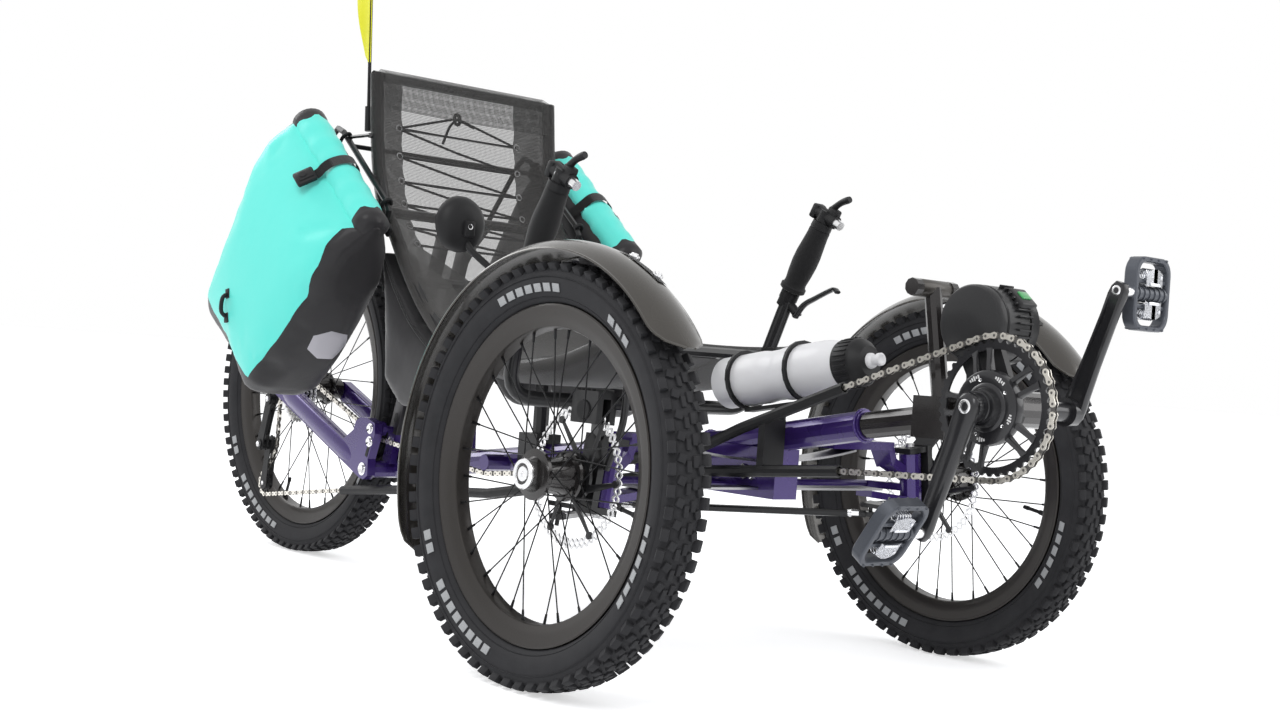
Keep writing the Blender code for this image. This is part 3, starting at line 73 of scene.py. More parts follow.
class Finish:
    """One surface finish. node() adds any node; colour, roughness and bump then take what it gives."""

    def __init__(self, name, colour, roughness, metallic=0.0, coat=0.0, sheen=0.0, gloss=0.22):
        self.made = bpy.data.materials.new(name)
        self.made.use_nodes = True
        self.tree = self.made.node_tree
        self.shader = self.tree.nodes["Principled BSDF"]
        for socket, value in (("Base Color", (*colour, 1)), ("Roughness", roughness), ("Metallic", metallic),
                              ("Coat Weight", coat), ("Sheen Weight", sheen), ("Specular IOR Level", gloss)):
            self.shader.inputs[socket].default_value = value
        self.shader.inputs["Coat Roughness"].default_value = 0.12

    def feed(self, socket, value):
        if isinstance(value, Number):
            value = value.socket
        if isinstance(value, bpy.types.NodeSocket):
            self.tree.links.new(value, socket)
        else:
            socket.default_value = value

    def node(self, kind, settings, *values, **named):
        added = self.tree.nodes.new(kind)
        for key, value in settings.items():
            setattr(added, key, value)
        for socket, value in zip(added.inputs, values):
            self.feed(socket, value)
        for key, value in named.items():
            self.feed(added.inputs[key.replace("_", " ")], value)
        return added

    def number(self, kind, settings, *values, **named):
        return Number(self, self.node(kind, settings, *values, **named).outputs[0])

    def places(self, scale=(1, 1, 1)):
        """Object coordinates, stretched."""
        coordinates = self.node("ShaderNodeTexCoord", {}).outputs["Object"]
        return self.node("ShaderNodeMapping", {}, Vector=coordinates, Scale=scale).outputs["Vector"]

    def noise(self, scale, detail=3.0, stretch=(1, 1, 1)):
        made = self.node("ShaderNodeTexNoise", {}, Vector=self.places(stretch), Scale=scale, Detail=detail)
        return Number(self, made.outputs["Fac"])

    def blend(self, share, first, second):
        """One colour turning into another by a share from 0 to 1."""
        made = self.node("ShaderNodeMix", {"data_type": "RGBA"}, Factor=share)
        for socket, value in ((made.inputs[6], first), (made.inputs[7], second)):
            self.feed(socket, (*value, 1) if isinstance(value, tuple) else value)
        return made.outputs[2]

    def colour(self, value):
        self.feed(self.shader.inputs["Base Color"], value)
        return self

    def rough(self, value):
        self.feed(self.shader.inputs["Roughness"], value)
        return self

    def bump(self, height, distance, strength=0.5):
        made = self.node("ShaderNodeBump", {}, Strength=strength, Distance=distance, Height=height)
        self.feed(self.shader.inputs["Normal"], made.outputs["Normal"])
        return self

    def dress(self, *names):
        """Puts the finish on CAD nodes."""
        for name in names:
            mesh = frame["nodes"][name].data
            mesh.materials.clear()
            mesh.materials.append(self.made)
            mesh.shade_smooth()
            mesh.set_sharp_from_angle(angle=math.radians(47))
        return self


def coated(name, colour, roughness, metallic, coat, flake=0.25):
    """Powder coat or paint: flakes under lacquer, slight orange peel, and a slow cloud in tone and roughness.
    """
    finish = Finish(name, colour, roughness, metallic, coat)
    flakes = finish.noise(900.0, 1.0)
    cloud = finish.noise(14.0, 4.0)
    lighter = tuple(min(1.0, c * (1 + flake) + 0.004) for c in colour)
    finish.colour(finish.blend(flakes * 0.7 + cloud * 0.3, colour, lighter))
    finish.rough(cloud * 0.16 + (roughness - 0.06))
    return finish.bump(finish.noise(420.0, 1.0), 0.0003, 0.25)


violet = coated("violet_coat", (0.028, 0.011, 0.105), 0.26, 0.35, 0.7, 0.9)
violet.dress("main_frame", "swingarm", "upright_left", "upright_right")


def joint(name):
    """(place, axis) of a joint of the frame."""
    found = next(j for j in frame["joints"] if j["name"] == name)
    return Vector(found["pos_m"]), Vector(found["axis"])


front_axle_y = joint("wheel_left_spin")[0].y


def at(side, back, up):
    """A point given from the front axle, as the frame's own sizes are."""
    return Vector((side, front_axle_y + back, up))


def piece(name, bm, finish, body, smooth_deg=35.0):
    """A finished piece from a bmesh, with its own finish, riding on a body of the frame."""
    bmesh.ops.recalc_face_normals(bm, faces=bm.faces)
    mesh = bpy.data.meshes.new(name)
    bm.to_mesh(mesh)
    bm.free()
    mesh.shade_smooth()
    mesh.set_sharp_from_angle(angle=math.radians(smooth_deg))
    mesh.materials.append(finish.made)
    made = bpy.data.objects.new(name, mesh)
    bpy.context.scene.collection.objects.link(made)
    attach(made, body)
    return made


def along(start, end):
    """The frame that stands on start with its Z towards end."""
    way = Vector(end) - Vector(start)
    return Matrix.Translation(start) @ way.to_track_quat("Z", "Y").to_matrix().to_4x4()


def rod(bm, start, end, radius, end_radius=None, segments=16):
    """A round bar or cone between two points."""
    length = (Vector(end) - Vector(start)).length
    return bmesh.ops.create_cone(bm, cap_ends=True, segments=segments, radius1=radius,
                                 radius2=radius if end_radius is None else end_radius, depth=length,
                                 matrix=along(start, end) @ Matrix.Translation((0, 0, length / 2)))["verts"]


def slab(bm, size, place=Matrix.Identity(4), bevel=0.0):
    """A block of that size about its place, with eased edges."""
    verts = bmesh.ops.create_cube(bm, size=1.0, matrix=place @ Matrix.Diagonal((*size, 1)))["verts"]
    if bevel:
        edges = list({edge for vert in verts for edge in vert.link_edges})
        bmesh.ops.bevel(bm, geom=edges, offset=bevel, segments=2, profile=0.5, affect="EDGES", material=-1)
    return verts


def screw(bm, foot, way, radius=0.004, height=0.003):
    """A socket head screw with its hexagonal hollow."""
    tip = Vector(foot) + Vector(way).normalized() * height
    verts = rod(bm, foot, tip, radius, radius * 0.94, 12)
    top = max((face for vert in verts for face in vert.link_faces),
              key=lambda face: face.calc_center_median().dot(way))
    bmesh.ops.inset_individual(bm, faces=[top], thickness=radius * 0.42)
    bmesh.ops.translate(bm, verts=top.verts[:], vec=-Vector(way).normalized() * height * 0.6)


bolt_steel = Finish("bolt_steel", (0.55, 0.55, 0.56), 0.3, 1.0)
bolt_steel.rough(bolt_steel.noise(300.0) * 0.2 + 0.2)

block_face = 0.022
frame_bolts = bmesh.new()
for side in (1, -1):
    for back, up in ((0.012, 0.262), (0.028, 0.262), (0.030, 0.275), (0.075, 0.268), (0.100, 0.268)):
        screw(frame_bolts, at(side * block_face, back, up), Vector((side, 0, 0)), 0.0042, 0.0035)
piece("frame_bolts", frame_bolts, bolt_steel, "chassis")


# Boom, seat frame, rack and the other black metal: tubes with a satin black coat, the boom glossier where it
# slides in the main tube, and the leaf springs in bare titanium with a brushed grain across the machine.

black_coat = coated("black_coat", (0.012, 0.012, 0.013), 0.34, 0.15, 0.35, 0.5)
black_coat.dress("seat_frame", "rack", "knuckle_left", "knuckle_right", "steering_rod_left",
                 "steering_rod_right",
                 "shock", "handlebar", "crankset", "motor")
boom_gloss = coated("boom_gloss", (0.020, 0.018, 0.018), 0.22, 0.5, 0.6, 0.5)
boom_gloss.dress("boom")
titanium = Finish("spring_titanium", (0.42, 0.42, 0.43), 0.35, 1.0)
titanium.rough(titanium.noise(60.0, 3.0, (0.05, 8, 8)) * 0.35
               + 0.2).dress("leaf_spring_upper", "leaf_spring_lower")
moulded = Finish("moulded_black", (0.014, 0.014, 0.015), 0.48)
moulded.rough(moulded.noise(80.0) * 0.2 + 0.38).bump(moulded.noise(1400.0, 1.0), 0.0002, 0.3)
moulded.dress("chain_tubes", "bottle_cage", "mirror", "derailleur", "flag_mast")


# Tyres: black knobbly rubber, with tall shoulder knobs that stand free at the side, paired blocks along the
# crown, a fine ribbed sidewall and a bead line. Short rows of light bars stand on the sidewalls.

tyre_half = 0.030
shoulder_drop = 0.0025
bead_radius = {"front": 0.2098, "rear": 0.2598}
tread_radius = {"front": 0.262, "rear": 0.3125}
tyre_width_shares = [(0.46, 0.00), (0.60, 0.06), (0.80, 0.20), (0.93, 0.38), (0.96, 0.56), (0.90, 0.74),
                     (0.72, 0.86),
                     (0.40, 0.93), (0.0, 0.95)]
knob_count = {"front": 66, "rear": 78}
rubber = Finish("tyre_rubber", (0.018, 0.018, 0.020), 0.72)
dust = rubber.noise(38.0, 4.0)
rubber.colour(rubber.blend(dust, (0.011, 0.011, 0.013), (0.040, 0.040, 0.043)))
rubber.rough(dust * 0.25 + 0.58).bump(rubber.noise(500.0, 2.0), 0.0004, 0.35)
marking = Finish("tyre_marking", (0.42, 0.43, 0.44), 0.6)
marking.colour(marking.blend(marking.noise(900.0, 1.0), (0.30, 0.31, 0.32), (0.50, 0.51, 0.52)))


def axle_frame(spin):
    """The wheel's own frame: X along its axle, its centre at zero."""
    centre, way = joint(spin)
    return Matrix.Translation(centre) @ Vector((1, 0, 0)).rotation_difference(way).to_matrix().to_4x4()


def turned(bm, profile, steps, closed=False):
    """Spins a line of (side, radius) about the X axis. A closed line makes a ring."""
    verts = [bm.verts.new((u, 0, r)) for u, r in profile]
    pairs = list(zip(verts, verts[1:])) + ([(verts[-1], verts[0])] if closed else [])
    edges = [bm.edges.new(pair) for pair in pairs]
    bmesh.ops.spin(bm, geom=verts + edges, cent=(0, 0, 0), axis=(1, 0, 0), angle=math.tau, steps=steps,
                   use_merge=True)
    if not closed:
        bmesh.ops.remove_doubles(bm, verts=[v for v in bm.verts if math.hypot(v.co.y, v.co.z) < 1e-6],
                                 dist=1e-5)


def round_wheel(angle, side, radius):
    """The frame on a wheel's rim at that angle: X along the axle, Z outwards."""
    return Matrix.Rotation(-angle, 4, "X") @ Matrix.Translation((side, 0, radius))


def moved(bm, matrix):
    """Moves a whole bmesh."""
    bmesh.ops.transform(bm, matrix=matrix, verts=bm.verts)


def joined(bm, other):
    """Adds another bmesh, and frees it."""
    carried = bpy.data.meshes.new("carried")
    other.to_mesh(carried)
    other.free()
    bm.from_mesh(carried)
    bpy.data.meshes.remove(carried)


def knobbly(rim_radius, tyre_radius, knobs):
    """The carcass with its knobs and its sidewall ribs."""
    height = tyre_radius - rim_radius
    bm = bmesh.new()
    outer = [(tyre_half * a, rim_radius + height * b) for a, b in tyre_width_shares]
    turned(bm, outer + [(-u, r) for u, r in reversed(outer[:-1])], 96, closed=True)
    pitch = math.tau / knobs
    length = pitch * tyre_radius
    crown = tyre_radius - height * 0.05
    for i in range(knobs):
        turn = pitch * i
        for side in (1, -1):
            shift = turn + (0.25 if side > 0 else -0.25) * pitch
            # Shoulder knob, leaning out over the sidewall.
            lean = Matrix.Rotation(side * math.radians(38), 4, "Y")
            slab(bm, (0.0105, length * 0.56, 0.013),
                 round_wheel(shift, side * tyre_half * 0.83, crown - height * 0.085) @ lean,
                 0.0009)
            # Block between the shoulder and the middle, turned a little.
            slab(bm, (0.0095, length * 0.40, height * 0.125),
                 round_wheel(shift + pitch * 0.5, side * tyre_half * 0.46, crown - 0.0012)
                 @ Matrix.Rotation(side * math.radians(14), 4, "Y") @ Matrix.Rotation(side * 0.35, 4, "Z"),
                 0.0007)
        # Middle pair.
        for side in (1, -1):
            slab(bm, (0.0068, length * 0.52, height * 0.105),
                 round_wheel(turn + side * 0.12 * pitch, side * 0.0048, tyre_radius - height * 0.0525),
                 0.0007)
    # No knob stands past the tyre's own crown.
    for vert in bm.verts:
        far = math.hypot(vert.co.y, vert.co.z)
        limit = tyre_radius - (vert.co.x / tyre_half) ** 2 * shoulder_drop
        if far > limit:
            vert.co.y, vert.co.z = vert.co.y * limit / far, vert.co.z * limit / far
    # Thin ribs round the sidewall over the bead.
    for side in (1, -1):
        for share, out in ((0.13, 0.72), (0.60, 0.962)):
            ring = bmesh.new()
            turned(ring, [(side * (tyre_half * out - 0.0006), rim_radius + height * share),
                          (side * (tyre_half * out + 0.0010), rim_radius + height * share + 0.0006),
                          (side * (tyre_half * out - 0.0006), rim_radius + height * share + 0.0022)], 96,
                          closed=True)
            joined(bm, ring)
    return bm


def marking_bars(rim_radius, tyre_radius, groups):
    """Plain bars in short rows round the sidewalls."""
    height = tyre_radius - rim_radius
    bm = bmesh.new()
    for side in (1, -1):
        for middle_deg, bars, each_deg in groups:
            for i in range(bars):
                turn = math.radians(middle_deg + (i - (bars - 1) / 2) * each_deg)
                place = round_wheel(turn, side * tyre_half * 0.935, rim_radius + height * 0.355)
                tip = Matrix.Rotation(side * math.radians(19), 4, "Y")
                slab(bm, (0.0012, math.radians(each_deg) * tyre_radius * 0.62, 0.0105), place @ tip, 0.0003)
    return bm


wheels = {
    "front_left": ("wheel_left_spin", "wheel_front_left", "front"),
    "front_right": ("wheel_right_spin", "wheel_front_right", "front"),
    "rear": ("rear_wheel_spin", "wheel_rear", "rear"),
}
# Rows of bars: (middle in degrees, bars, degrees each).
bar_rows = [(-38, 3, 4.6), (10, 7, 4.6), (118, 2, 4.6), (150, 8, 4.6), (248, 6, 4.6)]
for word, (spin, body, kind) in wheels.items():
    rim_radius, tyre_radius = bead_radius[kind], tread_radius[kind]
    lie = axle_frame(spin)
    tyre = knobbly(rim_radius, tyre_radius, knob_count[kind])
    moved(tyre, lie)
    made = piece(f"knobbly_tyre_{word}", tyre, rubber, body, 40)
    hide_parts(f"tyre_{word}")
    bars = marking_bars(rim_radius, tyre_radius, bar_rows)
    moved(bars, lie)
    piece(f"marking_{word}", bars, marking, body)


# Wheels: deep black-grey alloy rims with a flat satin side band, 32 thin black spokes crossing in pairs,
# black nipples, a black hub shell with drilled flanges and a bright turned end cap.

front_rim, rear_rim = 0.2095, 0.2595
flange_radius = 0.027
rim_depth = 0.029
rim_edge = 0.0175
rim_satin = coated("rim_satin", (0.030, 0.027, 0.025), 0.36, 0.5, 0.2, 0.3)
spoke_black = Finish("spoke_black", (0.020, 0.020, 0.021), 0.3, 0.8)
spoke_black.rough(spoke_black.noise(90.0) * 0.2 + 0.25)
bright = Finish("turned_alloy", (0.80, 0.80, 0.81), 0.22, 1.0)
bright.rough(bright.noise(50.0, 3.0, (30, 1, 1)) * 0.2 + 0.14)
spoke_count = 32
spoke_lead = math.radians(52)


def spoked(rim_radius, left_flange, right_flange, flange_radius):
    """Rim, spokes and nipples about the X axis."""
    rim, wires = bmesh.new(), bmesh.new()
    inner = 0.0095
    turned(rim, [(rim_edge, rim_radius), (rim_edge + 0.0008, rim_radius - 0.002),
                 (rim_edge, rim_radius - 0.0045),
                 (rim_edge - 0.0005, rim_radius - 0.013), (rim_edge - 0.0035, rim_radius - 0.0205),
                 (inner + 0.0015, rim_radius - 0.0275), (inner - 0.001, rim_radius - rim_depth),
                 (1e-4 - inner, rim_radius - rim_depth), (-inner - 0.0015, rim_radius - 0.0275),
                 (-rim_edge + 0.0035, rim_radius - 0.0205), (-rim_edge + 0.0005, rim_radius - 0.013),
                 (-rim_edge, rim_radius - 0.0045), (-rim_edge - 0.0008, rim_radius - 0.002),
                 (-rim_edge, rim_radius)], 96, closed=True)
    for i in range(spoke_count):
        at_rim = math.tau * (i + 0.5) / spoke_count
        lean = 1 if i % 4 < 2 else -1
        flange = (left_flange if i % 2 else right_flange) + lean * 0.0017
        at_hub = at_rim + spoke_lead * lean
        foot = Vector((flange, flange_radius * math.sin(at_hub), flange_radius * math.cos(at_hub)))
        reach = rim_radius - rim_depth
        side = 0.003 * (1 if i % 2 else -1)
        head = Vector((side, reach * math.sin(at_rim), reach * math.cos(at_rim)))
        rod(wires, foot, head, 0.00095, segments=8)
        rod(wires, head.lerp(foot, 0.075), head.lerp(foot, -0.01), 0.0016, 0.0021, 8)
        rod(wires, foot - Vector((0.0015 * lean, 0, 0)), foot + Vector((0.0012 * lean, 0, 0)), 0.0021,
            segments=8)
    return rim, wires


def valve(rim_radius):
    bm = bmesh.new()
    foot = Vector((0, 0, rim_radius - rim_depth))
    rod(bm, foot, foot - Vector((0, 0, 0.012)), 0.0042, 0.0036, 12)
    rod(bm, foot - Vector((0, 0, 0.012)), foot - Vector((0, 0, 0.032)), 0.0027, segments=12)
    rod(bm, foot - Vector((0, 0, 0.032)), foot - Vector((0, 0, 0.040)), 0.0034, 0.0028, 12)
    return bm


def placed(name, bm, matrix, finish, body, smooth_deg=35.0):
    moved(bm, matrix)
    return piece(name, bm, finish, body, smooth_deg)


sides = ((1, "left"), (-1, "right"))
for side, word in sides:
    lie = axle_frame(f"wheel_{word}_spin") @ Matrix.Diagonal((side, 1, 1, 1))
    body = f"wheel_front_{word}"
    rim, wires = spoked(front_rim, 0.018, -0.026, flange_radius)
    made = placed(f"rim_front_{word}", rim, lie, rim_satin, body)
    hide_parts(f"wheel_front_{word}")
    placed(f"spokes_front_{word}", wires, lie, spoke_black, body)
    hub = bmesh.new()
    turned(hub, [(-0.0420, 0.0104), (-0.0420, 0.022), (-0.0305, 0.022), (-0.0300, 0.0315), (-0.0255, 0.0315),
                 (-0.0235, 0.025),
                 (-0.010, 0.0225), (0.008, 0.0225), (0.0165, 0.025), (0.0180, 0.0315), (0.0225, 0.0315),
                 (0.0235, 0.022),
                 (0.0300, 0.0195), (0.0355, 0.019), (0.0355, 0.0104), (0.018, 0.0104)], 40)
    turned(hub, [(0.0372, 0.0098), (0.0380, 0.0098), (0.0380, 0.0125), (0.0372, 0.0125)], 40, closed=True)
    placed(f"hub_front_{word}", hub, lie, boom_gloss, body)
    cap = bmesh.new()
    turned(cap, [(0.0345, 0.0), (0.0345, 0.0185), (0.0385, 0.0190), (0.0400, 0.0178), (0.0400, 0.0132),
                 (0.0374, 0.0126),
                 (0.0374, 0.0096), (0.0394, 0.0090), (0.0394, 0.0030), (0.0370, 0.0026), (0.0370, 0.0)], 40)
    placed(f"hub_cap_{word}", cap, lie, bright, body)
    placed(f"valve_front_{word}", valve(front_rim), lie @ Matrix.Rotation(math.radians(100), 4, "X"),
           spoke_black, body)

lie = axle_frame("rear_wheel_spin")
rim, wires = spoked(rear_rim, 0.026, -0.026, flange_radius)
made = placed("rim_rear", rim, lie, rim_satin, "wheel_rear")
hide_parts("wheel_rear")
placed("spokes_rear", wires, lie, spoke_black, "wheel_rear")
hub = bmesh.new()
turned(hub, [(-0.030, 0.0056), (-0.030, 0.031), (-0.026, 0.031), (-0.024, 0.024), (-0.008, 0.0205),
             (0.008, 0.0205), (0.024, 0.024),
             (0.026, 0.031), (0.030, 0.031), (0.031, 0.020), (0.056, 0.019), (0.057, 0.0056)], 40)
placed("hub_rear", hub, lie, boom_gloss, "wheel_rear")
placed("valve_rear", valve(rear_rim), lie @ Matrix.Rotation(math.radians(200), 4, "X"), spoke_black,
       "wheel_rear")


# Brake rotors: stainless steel, laser cut into a lace of linked ovals, riveted to a black six-armed carrier.

rotor_radius = 0.090
rotor_offset = 0.0435
lace_waves = 27
rotor_steel = Finish("rotor_steel", (0.72, 0.72, 0.73), 0.25, 1.0)
rotor_steel.rough(rotor_steel.noise(700.0, 1.0) * 0.25 + 0.15)


def wavy_band(bm, middle, swing, half, thickness, waves, shift, steps):
    """A flat band round X whose radius swings in and out."""
    start = middle + swing * math.sin(shift)
    ring = [bm.verts.new((u, 0, r)) for u,
            r in ((-thickness / 2, start - half), (thickness / 2, start - half),
                                                 (thickness / 2, start + half),
                                                 (-thickness / 2, start + half))]
    edges = [bm.edges.new((ring[i], ring[(i + 1) % 4])) for i in range(4)]
    before = set(bm.verts) - set(ring)
    bmesh.ops.spin(bm, geom=ring + edges, cent=(0, 0, 0), axis=(1, 0, 0), angle=math.tau, steps=steps,
                   use_merge=True)
    for vert in set(bm.verts) - before:
        turn = math.atan2(-vert.co.y, vert.co.z)
        radius = math.hypot(vert.co.y, vert.co.z)
        radius += swing * (math.sin(waves * turn + shift) - math.sin(shift))
        vert.co.y, vert.co.z = -radius * math.sin(turn), radius * math.cos(turn)


for side, word in sides:
    lie = axle_frame(f"wheel_{word}_spin") @ Matrix.Diagonal((side, 1, 1, 1)) @ Matrix.Translation(
        (-rotor_offset, 0, 0))
    lace = bmesh.new()
    wavy_band(lace, rotor_radius - 0.0072, 0.0052, 0.00165, 0.0018, lace_waves, 0.0, 216)
    wavy_band(lace, rotor_radius - 0.0072, -0.0052, 0.00165, 0.00182, lace_waves, 0.0, 216)
    made = placed(f"rotor_lace_{word}", lace, lie, rotor_steel, f"wheel_front_{word}")
    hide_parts(f"rotor_front_{word}")
    carrier = bmesh.new()
    turned(carrier, [(-0.0022, 0.0225), (0.0022, 0.0225), (0.0022, 0.030), (-0.0022, 0.030)], 48, closed=True)
    for i in range(6):
        turn = math.tau * i / 6
        foot = Vector((0, 0.027 * math.sin(turn), 0.027 * math.cos(turn)))
        tip = Vector((0, 0.078 * math.sin(turn + 0.5), 0.078 * math.cos(turn + 0.5)))
        arm = rod(carrier, foot, tip, 0.0052, 0.0028, 8)
        bmesh.ops.scale(carrier, vec=(0.42, 1, 1), verts=arm)
        rod(carrier, tip - Vector((0.002, 0, 0)), tip + Vector((0.002, 0, 0)), 0.0048, segments=16)
    placed(f"rotor_carrier_{word}", carrier, lie, black_coat, f"wheel_front_{word}")


# Seat mesh: black open-weave polyester, drawn round both rails and laced behind through steel eyelets, so the
# backrest shows a light window between two dark flaps. A stitched hem holds it over the top cross tube.

axle_up = joint("wheel_left_spin")[0].z
frame_length = 0.930
seat_half = 0.178
rail_wrap = 0.0117
flap_depth = 0.0213
seat_shares = [(0.8634, 0.6353), (0.8495, 0.5353), (0.8333, 0.4600), (0.8065, 0.3955), (0.7613, 0.3417),
               (0.7097, 0.2772), (0.6452, 0.2127), (0.5591, 0.1589), (0.4301, 0.1320), (0.2688, 0.1482),
               (0.1355, 0.1912)]


def on_frame(back_share, up_share, side=0.0):
    """A point by its shares of the frame's length, from the front axle."""
    return at(side, frame_length * back_share, axle_up + frame_length * up_share)


def smooth(points, steps):
    """A smooth curve through the points."""
    ends = [points[0] * 2 - points[1], *points, points[-1] * 2 - points[-2]]
    line = []
    for before, first, second, after in zip(ends, ends[1:], ends[2:], ends[3:]):
        for i in range(steps):
            t = i / steps
            line.append((first * 2 + (second - before) * t
                         + (before * 2 - first * 5 + second * 4 - after) * t * t
                         + (first * 3 - before - second * 3 + after) * t ** 3) / 2)
    return line + [points[-1]]


def pipe(bm, points, radius, segments=8, closed=False):
    """A round cord or tube along the points, capped unless closed."""
    rings, across = [], None
    count = len(points)
    for i, point in enumerate(points):
        after = points[(i + 1) % count] if closed else points[min(i + 1, count - 1)]
        way = (after - points[i - 1 if closed else max(i - 1, 0)]).normalized()
        across = way.orthogonal().normalized() if across is None else (
            across - way * across.dot(way)).normalized()
        other = way.cross(across)
        size = radius[i] if isinstance(radius, list) else radius
        rings.append([bm.verts.new(point + (across * math.cos(turn) + other * math.sin(turn)) * size)
                      for turn in (math.tau * j / segments for j in range(segments))])
    for first, second in zip(rings, rings[1:] + (rings[:1] if closed else [])):
        for j in range(segments):
            bm.faces.new((first[j], first[(j + 1) % segments], second[(j + 1) % segments], second[j]))
    if not closed:
        bm.faces.new(rings[0][::-1])
        bm.faces.new(rings[-1])


def grid(rows, closed=False):
    """A surface over rows of points, with its lengths in metres as its UV map."""
    bm = bmesh.new()
    layer = bm.loops.layers.uv.new("lengths")
    made = [[bm.verts.new(point) for point in row] for row in rows]
    lengths, run = {}, 0.0
    middle = len(rows[0]) // 2
    for i, row in enumerate(made):
        run += (row[middle].co - made[i - 1][middle].co).length if i else 0.0
        over = 0.0
        for j, vert in enumerate(row):
            over += (vert.co - row[j - 1].co).length if j else 0.0
            lengths[vert] = (over, run)
    for first, second in zip(made, made[1:]):
        for j in range(len(first) - 1):
            face = bm.faces.new((first[j], first[j + 1], second[j + 1], second[j]))
            for loop in face.loops:
                loop[layer].uv = lengths[loop.vert]
    return bm


def cloth_lengths(finish):
    """Metres across and along the cloth, from its UV map."""
    lengths = finish.node("ShaderNodeUVMap", {"uv_map": "lengths"}).outputs["UV"]
    return finish.node("ShaderNodeSeparateXYZ", {}, Vector=lengths).outputs


def threads(finish, pitch, width):
    """1 on the threads of an open weave and 0 in its holes, along the UV map."""
    lengths = cloth_lengths(finish)
    found = None
    for i in (0, 1):
        run = Number(finish, lengths[i]) * (math.pi / pitch)
        wave = run.maths("SINE", run)
        on = wave.maths("LESS_THAN", wave.maths("ABSOLUTE", wave), width)
        found = on if found is None else found.maths("MAXIMUM", found, on)
    return found


# Metres over the cloth from its left edge: the middle of the backrest's rows, and a length no cloth reaches.
back_middle, never = 0.281, 9.0


def mesh_finish(name, colour, pitch, width, least, dense_from=never, flaps=never):
    """Open mesh, closer below dense_from metres of cloth and beyond flaps metres off the back's middle."""
    finish = Finish(name, colour, 0.7, sheen=0.3)
    on = threads(finish, pitch, width)
    lengths = cloth_lengths(finish)
    dense = finish.number("ShaderNodeMapRange", {}, lengths[1], dense_from, dense_from + 0.10, 0.0, 0.90)
    across = Number(finish, lengths[0]) - back_middle
    dense = dense.maths("MAXIMUM", dense, (across.maths("ABSOLUTE", across) > flaps) * 0.80)
    finish.feed(finish.shader.inputs["Alpha"], on.maths("MAXIMUM", on * (1 - least) + least, dense))
    finish.colour(finish.blend(finish.noise(30.0), tuple(c * 0.75 for c in colour),
                               tuple(c * 1.3 for c in colour)))
    return finish.bump(on, 0.0004, 0.4)


seat_weave = mesh_finish("seat_mesh_weave", (0.045, 0.043, 0.042), 0.0026, 0.36, 0.28, 0.36, 0.214)
hem_weave = mesh_finish("seat_hem_weave", (0.050, 0.049, 0.048), 0.0022, 0.38, 0.22)
lace_black = Finish("lace_black", (0.018, 0.018, 0.022), 0.75)
lace_black.bump(lace_black.noise(1500.0, 1.0), 0.0004, 0.6)

seat_line = smooth([on_frame(*share) for share in seat_shares], 6)
seat_rows = len(seat_line) - 1
first_eyelet, eyelet_step = 5.0, 3.6


def on_seat(row, side, depth):
    """A point by its row from the backrest's top, its side and its depth behind the rails' middle line."""
    row = max(0.0, min(row, seat_rows))
    low = min(int(row), seat_rows - 1)
    point = seat_line[low].lerp(seat_line[low + 1], row - low)
    way = (seat_line[low + 1] - seat_line[low]).normalized()
    return point + Vector((side, 0, 0)) + Vector((0, -way.z, way.y)) * depth


def window_edge(row):
    """How far the back flaps reach in from the rails there."""
    share = row / seat_rows
    scallop = 0.004 * abs(math.sin(math.pi * (row - first_eyelet) / eyelet_step))
    if share < 0.40:
        return 0.114 + scallop
    return max(0.004, 0.114 - (share - 0.40) / 0.12 * 0.11)


mesh_rows = []
for row in range(seat_rows + 1):
    half_row = []
    edge = window_edge(row)
    for j in range(7):
        share = j / 6
        side = edge + (seat_half - edge) * share
        half_row.append((side, flap_depth - max(0.0, (share - 0.82) / 0.18) * (flap_depth - rail_wrap)))
    for j in range(1, 7):
        turn = math.pi / 2 - math.pi * j / 6
        half_row.append((seat_half + rail_wrap * math.cos(turn), rail_wrap * math.sin(turn)))
    for j in range(1, 9):
        share = 1 - j / 8
        half_row.append((seat_half * share, -rail_wrap + 0.0118 * (1 - share * share) ** 0.75))
    full = half_row + [(-side, depth) for side, depth in half_row[-2::-1]]
    mesh_rows.append([on_seat(row, side, depth) for side, depth in full])
seat_bm = grid(mesh_rows)
cloth_area = sum(face.calc_area() for face in seat_bm.faces)
cloth_length = sum((b - a).length for a, b in zip(seat_line, seat_line[1:]))
cloth_width = max(sum((b - a).length for a, b in zip(row, row[1:])) for row in mesh_rows)
seat_mesh = piece("seat_mesh", seat_bm, seat_weave, "chassis", 60)
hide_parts("seat_sling")

eyelet_side, lace_side, lace_radius = 0.1225, 0.1235, 0.0021
eyelet_rows = [first_eyelet + eyelet_step * i for i in range(6)]
eyelets, laces = bmesh.new(), bmesh.new()
lace_depth = flap_depth + 0.0026
for row in eyelet_rows:
    for side in (1, -1):
        middle = on_seat(row, side * eyelet_side, flap_depth)
        way = on_seat(row, side * eyelet_side, 0) - middle
        turn = along(middle, middle + way)
        ring = [turn @ Vector((0.0052 * math.cos(t), 0.0052 * math.sin(t), 0.0))
                for t in (math.tau * i / 14 for i in range(14))]
        pipe(eyelets, ring, 0.0013, 6, closed=True)
for k, row in enumerate(eyelet_rows):
    pipe(laces, [on_seat(row, lace_side, lace_depth), on_seat(row, 0.06, lace_depth + 0.001),
                 on_seat(row, -0.06, lace_depth + 0.001), on_seat(row, -lace_side, lace_depth)], lace_radius)
    if k:
        lower = eyelet_rows[k - 1]
        pipe(laces, [on_seat(row, lace_side, lace_depth + 0.001),
                     on_seat((row + lower) / 2, 0, lace_depth + 0.0048),
                     on_seat(lower, -lace_side, lace_depth + 0.001)], lace_radius)
top_row = eyelet_rows[0]
knot_row = top_row - 2.1
